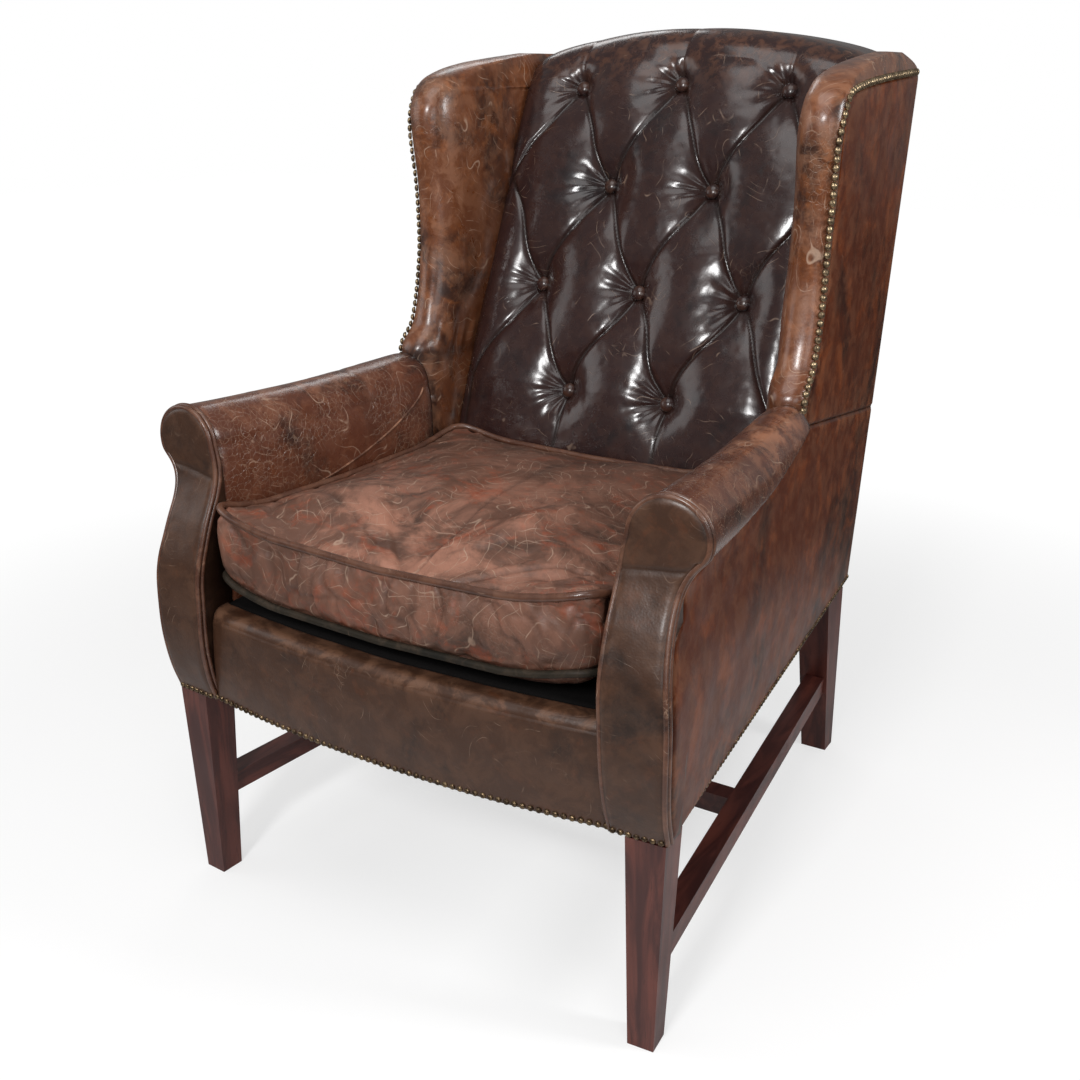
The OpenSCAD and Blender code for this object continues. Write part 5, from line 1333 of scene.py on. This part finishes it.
cushion = {"front": 536, "rear": 470, "depth": 466, "boxing": 88, "crown": 34, "lean": 28, "welt": 4.5,
           "rise": 20, "corner": 28, "bulge": 7, "voxel": 0.005, "pressure": 4.0, "cap": 14, "frames": 20,
           "power": 0.13}
cushionZ = deckZ + gap
cushionFrontY = frontY + 9


# A squared oval in plan, wider in front, with a bowed front: share is how far out a ring lies, out pushes it
# along its own direction, and the corners rise
def cushionRing(share, out, z, lean, count=220):
    a = np.linspace(0, 2 * np.pi, count, endpoint=False)
    ox = np.sign(np.cos(a)) * np.abs(np.cos(a)) ** cushion["power"] * share
    oy = np.sign(np.sin(a)) * np.abs(np.sin(a)) ** cushion["power"] * share
    v = (oy + 1) / 2
    half = blendTo(cushion["front"], cushion["rear"], v) / 2 * (1 - 0.012 * (1 - oy * oy))
    bow = chair["bow"] / 2
    y = blendTo(cushionFrontY + bow, cushionFrontY + cushion["depth"], v) - bow * (1 - ox * ox) * (1 - v)
    return np.stack([ox * half + np.cos(a) * out, y + np.sin(a) * out + lean * np.maximum(0, oy),
                     z + cushion["corner"] * (ox * oy) ** 4], -1)


def cushionRings():
    low = cushionZ + cushion["rise"]
    high = low + cushion["boxing"]
    lean, w = cushion["lean"], cushion["welt"]
    rings = [cushionRing(s, 0, cushionZ, 0) for s in (0.25, 0.5, 0.72, 0.84)]
    rings += [cushionRing(0.9, 0, cushionZ + 3, 0), cushionRing(0.945, 0, low - 9, 0)]
    rings += [cushionRing(1, -w - 3, low - 3, 0), cushionRing(1, -w, low + 3, 0)]
    for t in np.linspace(0, 1, 12)[1:-1]:
        rings.append(cushionRing(1, -w + (cushion["bulge"] + w - 2) * np.sin(np.pi * t) ** 0.6,
                                 blendTo(low, high, t), lean * t))
    rings += [cushionRing(1, -w, high - 3, lean), cushionRing(1, -w, high + 2, lean)]
    for s in (0.96, 0.9, 0.82, 0.72, 0.6, 0.46, 0.3, 0.14):
        ring = cushionRing(s, 0, high, lean)
        ring[:, 2] += (cushion["crown"] - 6) * (1 - s ** 2.2)
        rings.append(ring)
    return np.array(rings)


# Cloth: the pad is remeshed at the voxel size and blown up with the seams held, gravity off. Then no point is
# left further than the cap from where it started
def puff(piece, held):
    scene = bpy.context.scene
    remesh = piece.modifiers.new("remesh", "REMESH")
    remesh.mode = "VOXEL"
    remesh.voxel_size = cushion["voxel"]
    remesh.use_smooth_shade = True
    bakeModifiers(piece)
    start = readPoints(piece)
    holdShare = held(start)
    group = piece.vertex_groups.new(name="held")
    for level in np.unique(np.round(holdShare, 1)):
        if level > 0:
            group.add(np.flatnonzero(np.abs(np.round(holdShare, 1) - level) < 1e-6).tolist(), float(level),
                      "REPLACE")
    cloth = piece.modifiers.new("cloth", "CLOTH")
    s = cloth.settings
    s.quality = 5
    s.mass = 0.4
    s.tension_stiffness = s.compression_stiffness = 18
    s.shear_stiffness = 12
    s.bending_stiffness = 1.2
    s.use_pressure = True
    s.uniform_pressure_force = cushion["pressure"]
    s.vertex_group_mass = "held"
    s.effector_weights.gravity = 0
    s.shrink_min = -0.02
    cloth.collision_settings.use_collision = False
    cloth.point_cache.frame_start = 1
    cloth.point_cache.frame_end = cushion["frames"]
    for n in range(1, cushion["frames"] + 1):
        scene.frame_set(n)
    moved = readPoints(piece, evaluated=True)
    piece.modifiers.remove(cloth)
    scene.frame_set(1)
    step = moved - start
    length = np.linalg.norm(step, axis=1)
    step *= np.minimum(1, cushion["cap"] / np.maximum(length, 1e-6))[:, None]
    writePoints(piece, start + step)


def readPoints(piece, evaluated=False):
    mesh = piece.evaluated_get(bpy.context.evaluated_depsgraph_get()).data if evaluated else piece.data
    co = np.zeros(len(mesh.vertices) * 3)
    mesh.vertices.foreach_get("co", co)
    return co.reshape(-1, 3) / mm


def writePoints(piece, points):
    piece.data.vertices.foreach_set("co", (points * mm).ravel())
    piece.data.update()


def bakeModifiers(piece):
    depsgraph = bpy.context.evaluated_depsgraph_get()
    mesh = bpy.data.meshes.new_from_object(piece.evaluated_get(depsgraph))
    piece.modifiers.clear()
    old = piece.data
    piece.data = mesh
    bpy.data.meshes.remove(old)


def pointNormals(piece):
    co = np.zeros(len(piece.data.vertices) * 3)
    piece.data.vertex_normals.foreach_get("vector", co)
    return co.reshape(-1, 3)


def makeCushion():
    low = cushionZ + cushion["rise"]
    high = low + cushion["boxing"]
    piece = addLoft("seatCushion", cushionRings(), leathers["cushionLeather"])

    # 1 along the two seams and underneath, 0 elsewhere
    def held(p):
        sideways = unit(np.abs(p[:, 0]) / 268) ** 4
        corner = cushion["corner"] * sideways * unit(np.abs(p[:, 1] + 215) / 233) ** 4
        seam = np.minimum(np.abs(p[:, 2] - low - corner), np.abs(p[:, 2] - high - corner))
        wall = unit((np.maximum(np.abs(p[:, 0]) / 268, np.abs(p[:, 1] + 215) / 233) - 0.8) / 0.1)
        return np.maximum(unit(1.6 - seam / 5) * wall, unit((cushionZ + 10 - p[:, 2]) / 4))

    puff(piece, held)
    sub = piece.modifiers.new("sub", "SUBSURF")
    sub.levels = sub.render_levels = 1
    bakeModifiers(piece)
    points, normals = readPoints(piece), pointNormals(piece)
    # folds of slack leather: long soft waves on the top, a net of creases, and puckers along the seams
    topShare = unit((normals[:, 2] - 0.3) / 0.4)
    sideShare = unit((0.6 - np.abs(normals[:, 2])) / 0.3)
    frontPull = unit((-points[:, 1] - 150) / 280)
    waves = 2.6 * softNoise(points, (95, 150, 60), 101) + 1.2 * softNoise(points, (42, 60, 40), 102)
    # fan: the angle and the distance from a point near the front edge's middle, so that folds run away
    # from it
    fanX, fanY = points[:, 0] - 50, points[:, 1] + 470
    fanFar = np.hypot(fanX, fanY)
    fan = np.stack([np.arctan2(fanY, fanX) * 190, fanFar * 0.3, 0 * fanX], -1)
    fan = fan + 9 * softNoise(points, 60, 105)[:, None]
    lines = creases(fan, (42, 60, 90), 0.12, 103)
    finer = creases(points + 8 * softNoise(points, 30, 106)[:, None], (38, 52, 38), 0.16, 104)
    ridge = 13 * np.maximum(0, softNoise(fan, (38, 70, 90), 109)) * np.exp(-((fanFar - 150) / 130) ** 2)
    height = topShare * (waves + ridge - 2.8 * lines * (0.3 + 0.7 * frontPull)
                         - 1.4 * finer * (0.3 + 0.7 * frontPull))
    around = np.arctan2(points[:, 1] + 215, points[:, 0]) * 300
    pucker = softNoise(np.stack([around, points[:, 2] * 0.25, 0 * around], -1), 11, 107)
    fine = softNoise(np.stack([around, points[:, 2] * 0.5, 0 * around], -1), 27, 108)
    wrinkle = creases(np.stack([around + 10 * fine, points[:, 2] * 0.6, 0 * around], -1), (24, 30, 30), 0.16,
                      110)
    height += sideShare * (1.8 * pucker + 3.0 * fine - 1.6 * finer - 3.0 * wrinkle)
    points = points + normals * height[:, None]
    limit = armInX(np.clip(points[:, 2], skirtZ, chair["armHeight"]))
    limit = limit + armShift(np.clip(points[:, 1], armBackY, 60)) - 1.5
    inside = points[:, 1] > armBackY
    points[:, 0] = np.where(inside, np.clip(points[:, 0], -limit, limit), points[:, 0])
    back = tuftY(points[:, 2]) - 27
    points[:, 1] = np.where(points[:, 1] > back, blendTo(points[:, 1], back, 0.85), points[:, 1])
    points[:, 2] = np.maximum(points[:, 2], cushionZ)
    writePoints(piece, points)
    # painted shade: darker in the creases on the top and in the wrinkles of the boxing
    creaseShade = 1 - topShare * unit(0.35 * lines + 0.15 * finer) - sideShare * unit(0.2 * finer + 0.3 * wrinkle)
    # painted shade: below the bottom welt the underside takes the full crease colour
    below = unit((low - 3 - points[:, 2]) / 5)
    creaseShade = creaseShade * (1 - below)
    middle = np.exp(-((points[:, 0] / 300) ** 2 + ((points[:, 1] + 400) / 190) ** 2))
    worn = topShare * (0.1 + 0.85 * middle) + sideShare * 0.4
    keepWearAndShade(piece, [unit(creaseShade)], [unit(worn)])
    finish(piece, "cushion", "leather_brown", "seat_cushion")
    return low, high


def makeCushionWelts(low, high):
    # painted shade: the bottom welt takes the darker copy of the welt leather
    welts = (("cushionWeltTop", high, cushion["lean"], "cushion_welt_top", "weltLeather"),
             ("cushionWeltBottom", low, 0, "cushion_welt_bottom", "shadedWeltLeather"))
    for name, z, lean, node, finishName in welts:
        path = cushionRing(1, 0.3, z, lean, 400)
        path[:, 2] += 1.1 * softNoise(path, 45, 121) + 0.5 * softNoise(path, 14, 122)
        limit = armInX(path[:, 2]) + armShift(np.clip(path[:, 1], armBackY, 60)) - 1.5 - cushion["welt"]
        path[:, 0] = np.where(path[:, 1] > armBackY, np.clip(path[:, 0], -limit, limit), path[:, 0])
        welt = addCord(name, path, cushion["welt"], (0, 0, 1), leathers[finishName], sides=14, closed=True,
                       step=2.5)
        keepWearAndShade(welt, 1.0, 0.2)
        finish(welt, "cushion", "leather_brown", node)


seamLow, seamHigh = makeCushion()
makeCushionWelts(seamLow, seamHigh)
print("cushion done")

# Nails along the lower edges

nailRows = {"radius": 3.8, "pitch": 9.8, "lift": 5.5, "wingRadius": 4.9, "wingPitch": 10.4, "turn": 26}


# Domed heads at even steps along a path: three rings of eight points and a tip, turned to face outwards
def addNails(name, path, aims, radius, material, pitch):
    places = evenPath(path, pitch)
    near = np.argmin(((places[:, None] - path[None]) ** 2).sum(-1), axis=1)
    outward = aims[near] / np.linalg.norm(aims[near], axis=1)[:, None]
    helper = np.array([0.0, 0, 1])
    side = np.cross(helper, outward)
    side /= np.linalg.norm(side, axis=1)[:, None]
    up = np.cross(outward, side)
    a = np.linspace(0, 2 * np.pi, 10, endpoint=False)
    circle = side[:, None] * np.cos(a)[None, :, None] + up[:, None] * np.sin(a)[None, :, None]
    rings = [places[:, None] + circle * radius * r + outward[:, None] * radius * h
             for r, h in ((1.0, -0.2), (1.0, 0.1), (0.78, 0.45), (0.4, 0.64))]
    n = len(places)
    points = np.concatenate([np.stack(rings, 1).reshape(n, -1, 3),
                             (places + outward * radius * 0.7)[:, None],
                             (places - outward * radius * 0.2)[:, None]], axis=1)
    one = []
    for r in range(3):
        one += [(r * 10 + k, r * 10 + (k + 1) % 10, (r + 1) * 10 + (k + 1) % 10, (r + 1) * 10 + k)
                for k in range(10)]
    one += [(30 + k, 30 + (k + 1) % 10, 40) for k in range(10)] + [((k + 1) % 10, k, 41) for k in range(10)]
    faces = [tuple(v + m * 42 for v in f) for m in range(n) for f in one]
    return addMesh(name, points, faces, material)


def makeLowerNails():
    z = skirtZ + nailRows["lift"]
    lower = (nailRows["radius"], dullBrass, nailRows["pitch"])
    x = np.linspace(-284, 284, 200)
    y = bowY(x) - 0.6
    slope = np.gradient(y, x)
    rail = addNails("railNails", np.stack([x, y, 0 * x + z], -1),
                    np.stack([slope, -np.ones_like(x), 0 * x], -1), *lower)
    finish(rail, "frame", "brass")
    for side, word in ((1, "Right"), (-1, "Left")):
        height = np.array(z)
        xf = np.linspace(float(armInX(height)) + 6, float(armOutX(height)) - 6, 40)
        yf = float(armFaceY(height)) - 5 * (1 - np.linspace(0, 1, 40)) - 0.2
        path = np.stack([side * xf, yf, 0 * xf + z], -1)
        front = addNails("frontNails" + word, path, np.tile([0.0, -1, 0], (40, 1)), *lower)
        ys = np.linspace(armBackY + 6, rearY(z) - 8, 200)
        path = np.stack([side * (sideX(ys, np.full_like(ys, z)) - 0.6), ys, 0 * ys + z], -1)
        flank = addNails("sideNails" + word, path, np.tile([float(side), 0.2, 0], (200, 1)), *lower)
        finish(front, "frame", "brass")
        finish(flank, "frame", "brass")


# The heads of a wing: up the rear of its roll, where they look a little forward, then over to the corner
# of the back
def makeWingNails(side, word):
    node = "wing_nails_" + word.lower()
    z = np.arange(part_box(node)[0][2] / mm + chair["nail"], nailTopZ, 2.0)
    y = np.linspace(nailTurnY, nailEndY - wingLip, 90)[1:]
    z, y = np.append(z, nailRunZ(y)), np.append(nailY(z), y)
    turn = np.radians(nailRows["turn"]) * ease((nailTopZ - z) / 60)
    x = sideX(y, z) + 0.2 - chair["wingPad"] / 2 * (1 - np.cos(turn))
    path = np.stack([side * x, y - wingLip * np.sin(turn), z], -1)
    outward = np.stack([side * np.cos(turn), -np.sin(turn), 0.15 * (1 - ease((nailTopZ - z) / 60))], -1)
    heads = addNails("wingNails" + word, path, outward, nailRows["wingRadius"], agedBrass,
                     nailRows["wingPitch"])
    finish(heads, "frame", "brass", node)


makeLowerNails()
makeWingNails(1, "Right")
makeWingNails(-1, "Left")
print("nails done")

# Stage, lights and camera

# glow is how much of the floor's white is its own: the rest is light that falls on it, so a shadow shows
stage = {"floor": (0.62, 0.62, 0.62), "floorFar": (0.14, 0.14, 0.14), "glow": 0.58, "near": 0.9, "far": 2.0,
         "ambient": 0.28, "mirrored": 0.2}


# The floor catches the shadow close to the chair. Further off the camera sees plain white
def makeFloor():
    mesh = bpy.data.meshes.new("floor")
    mesh.from_pydata([(-9, -9, 0), (9, -9, 0), (9, 9, 0), (-9, 9, 0)], [], [(0, 1, 2, 3)])
    floor = bpy.data.objects.new("floor", mesh)
    bpy.context.scene.collection.objects.link(floor)
    material, tree, shader, place = startMaterial("paleFloor")
    path = tree.nodes.new("ShaderNodeLightPath")
    seen = mathNode(tree, "MAXIMUM", path.outputs["Is Camera Ray"], path.outputs["Is Transmission Ray"])
    distance = tree.nodes.new("ShaderNodeVectorMath")
    distance.operation = "LENGTH"
    tree.links.new(place, distance.inputs[0])
    far = rangeNode(tree, distance.outputs["Value"], stage["near"], stage["far"])
    shadeShare = mathNode(tree, "MULTIPLY", mathNode(tree, "SUBTRACT", 1.0, far), 1 - stage["glow"])
    shade = tree.nodes.new("ShaderNodeCombineColor")
    for socket in shade.inputs:
        tree.links.new(shadeShare, socket)
    lit = mixColour(tree, rangeNode(tree, distance.outputs["Value"], 0.8, 1.5), stage["floor"],
                    stage["floorFar"])
    tree.links.new(mixColour(tree, seen, lit, shade.outputs[0]), shader.inputs["Base Color"])
    shader.inputs["Emission Color"].default_value = (1, 1, 1, 1)
    own = mathNode(tree, "MULTIPLY", seen, mathNode(tree, "SUBTRACT", 1.03, shadeShare))
    tree.links.new(own, shader.inputs["Emission Strength"])
    shader.inputs["Roughness"].default_value = 0.9
    shader.inputs["Specular IOR Level"].default_value = 0.0
    mesh.materials.append(material)


def makeWorld():
    world = bpy.data.worlds.new("studio")
    bpy.context.scene.world = world
    world.use_nodes = True
    tree = world.node_tree
    back = tree.nodes["Background"]
    path = tree.nodes.new("ShaderNodeLightPath")
    seen = mathNode(tree, "MAXIMUM", path.outputs["Is Camera Ray"], path.outputs["Is Transmission Ray"])
    mirrored = mathNode(tree, "MULTIPLY", path.outputs["Is Glossy Ray"],
                        stage["mirrored"] - stage["ambient"])
    level = mathNode(tree, "ADD", mathNode(tree, "MULTIPLY", seen, 1 - stage["ambient"]),
                     mathNode(tree, "ADD", mirrored, stage["ambient"]))
    back.inputs["Color"].default_value = (1, 1, 1, 1)
    tree.links.new(level, back.inputs["Strength"])


# name, place, the point it looks at, width, height in m, power in W
lamps = [("keyLamp", (0.45, -2.7, 2.1), (0, 0, 0.75), 0.42, 0.6, 48),
         ("frontPanel", (2.3, -2.3, 1.5), (0, 0, 0.7), 1.2, 1.5, 14),
         ("leftPanel", (-2.7, -1.3, 1.6), (0, 0, 0.7), 1.6, 1.6, 12),
         ("topPanel", (0.0, -0.9, 3.0), (0, 0, 0.5), 1.6, 1.6, 18),
         ("rightLamp", (2.1, 0.15, 1.55), (-0.3, 0.0, 0.95), 0.4, 0.75, 19),
         ("rearLamp", (-1.0, 1.3, 1.9), (-0.3, -0.25, 0.65), 0.7, 0.3, 2)]


# A lamp's third axis points away from what it looks at, and its first lies level
def addLamp(name, place, aim, wide, tall, power):
    data = bpy.data.lights.new(name, "AREA")
    data.shape = "RECTANGLE"
    data.size = wide
    data.size_y = tall
    data.energy = power
    lamp = bpy.data.objects.new(name, data)
    bpy.context.scene.collection.objects.link(lamp)
    away = np.array(place, float) - np.array(aim, float)
    away /= np.linalg.norm(away)
    side = np.cross((0, 0, 1), away)
    side = side / np.linalg.norm(side) if np.linalg.norm(side) > 1e-6 else np.array([1.0, 0, 0])
    up = np.cross(away, side)
    lamp.matrix_world = Matrix([(*v, w) for v, w in zip(np.stack([side, up, away], 1), place)]
                               + [(0, 0, 0, 1)])
    return lamp


view = {"place": (0.8189, -1.4565, 1.0364), "turn": 31.2, "tilt": 20.42, "roll": 0.17, "lens": 41.98,
        "sensor": 36}


# The camera stands where the photograph's did: its turn, tilt and roll give its three axes
def makeCamera():
    turn, tilt, roll = np.radians([view["turn"], view["tilt"], view["roll"]])
    ahead = np.array([-np.sin(turn) * np.cos(tilt), np.cos(turn) * np.cos(tilt), -np.sin(tilt)])
    level = np.cross(ahead, (0, 0, 1))
    level /= np.linalg.norm(level)
    above = np.cross(level, ahead)
    side = level * np.cos(roll) + above * np.sin(roll)
    up = above * np.cos(roll) - level * np.sin(roll)
    data = bpy.data.cameras.new("camera")
    data.lens = view["lens"]
    data.sensor_width = view["sensor"]
    camera = bpy.data.objects.new("camera", data)
    bpy.context.scene.collection.objects.link(camera)
    camera.matrix_world = Matrix([(*v, w) for v, w in zip(np.stack([side, up, -ahead], 1), view["place"])]
                                 + [(0, 0, 0, 1)])
    bpy.context.scene.camera = camera


makeFloor()
makeWorld()
for lamp in lamps:
    addLamp(*lamp)
makeCamera()
bpy.context.scene.view_settings.view_transform = "Standard"
print("stage, lights and camera done")
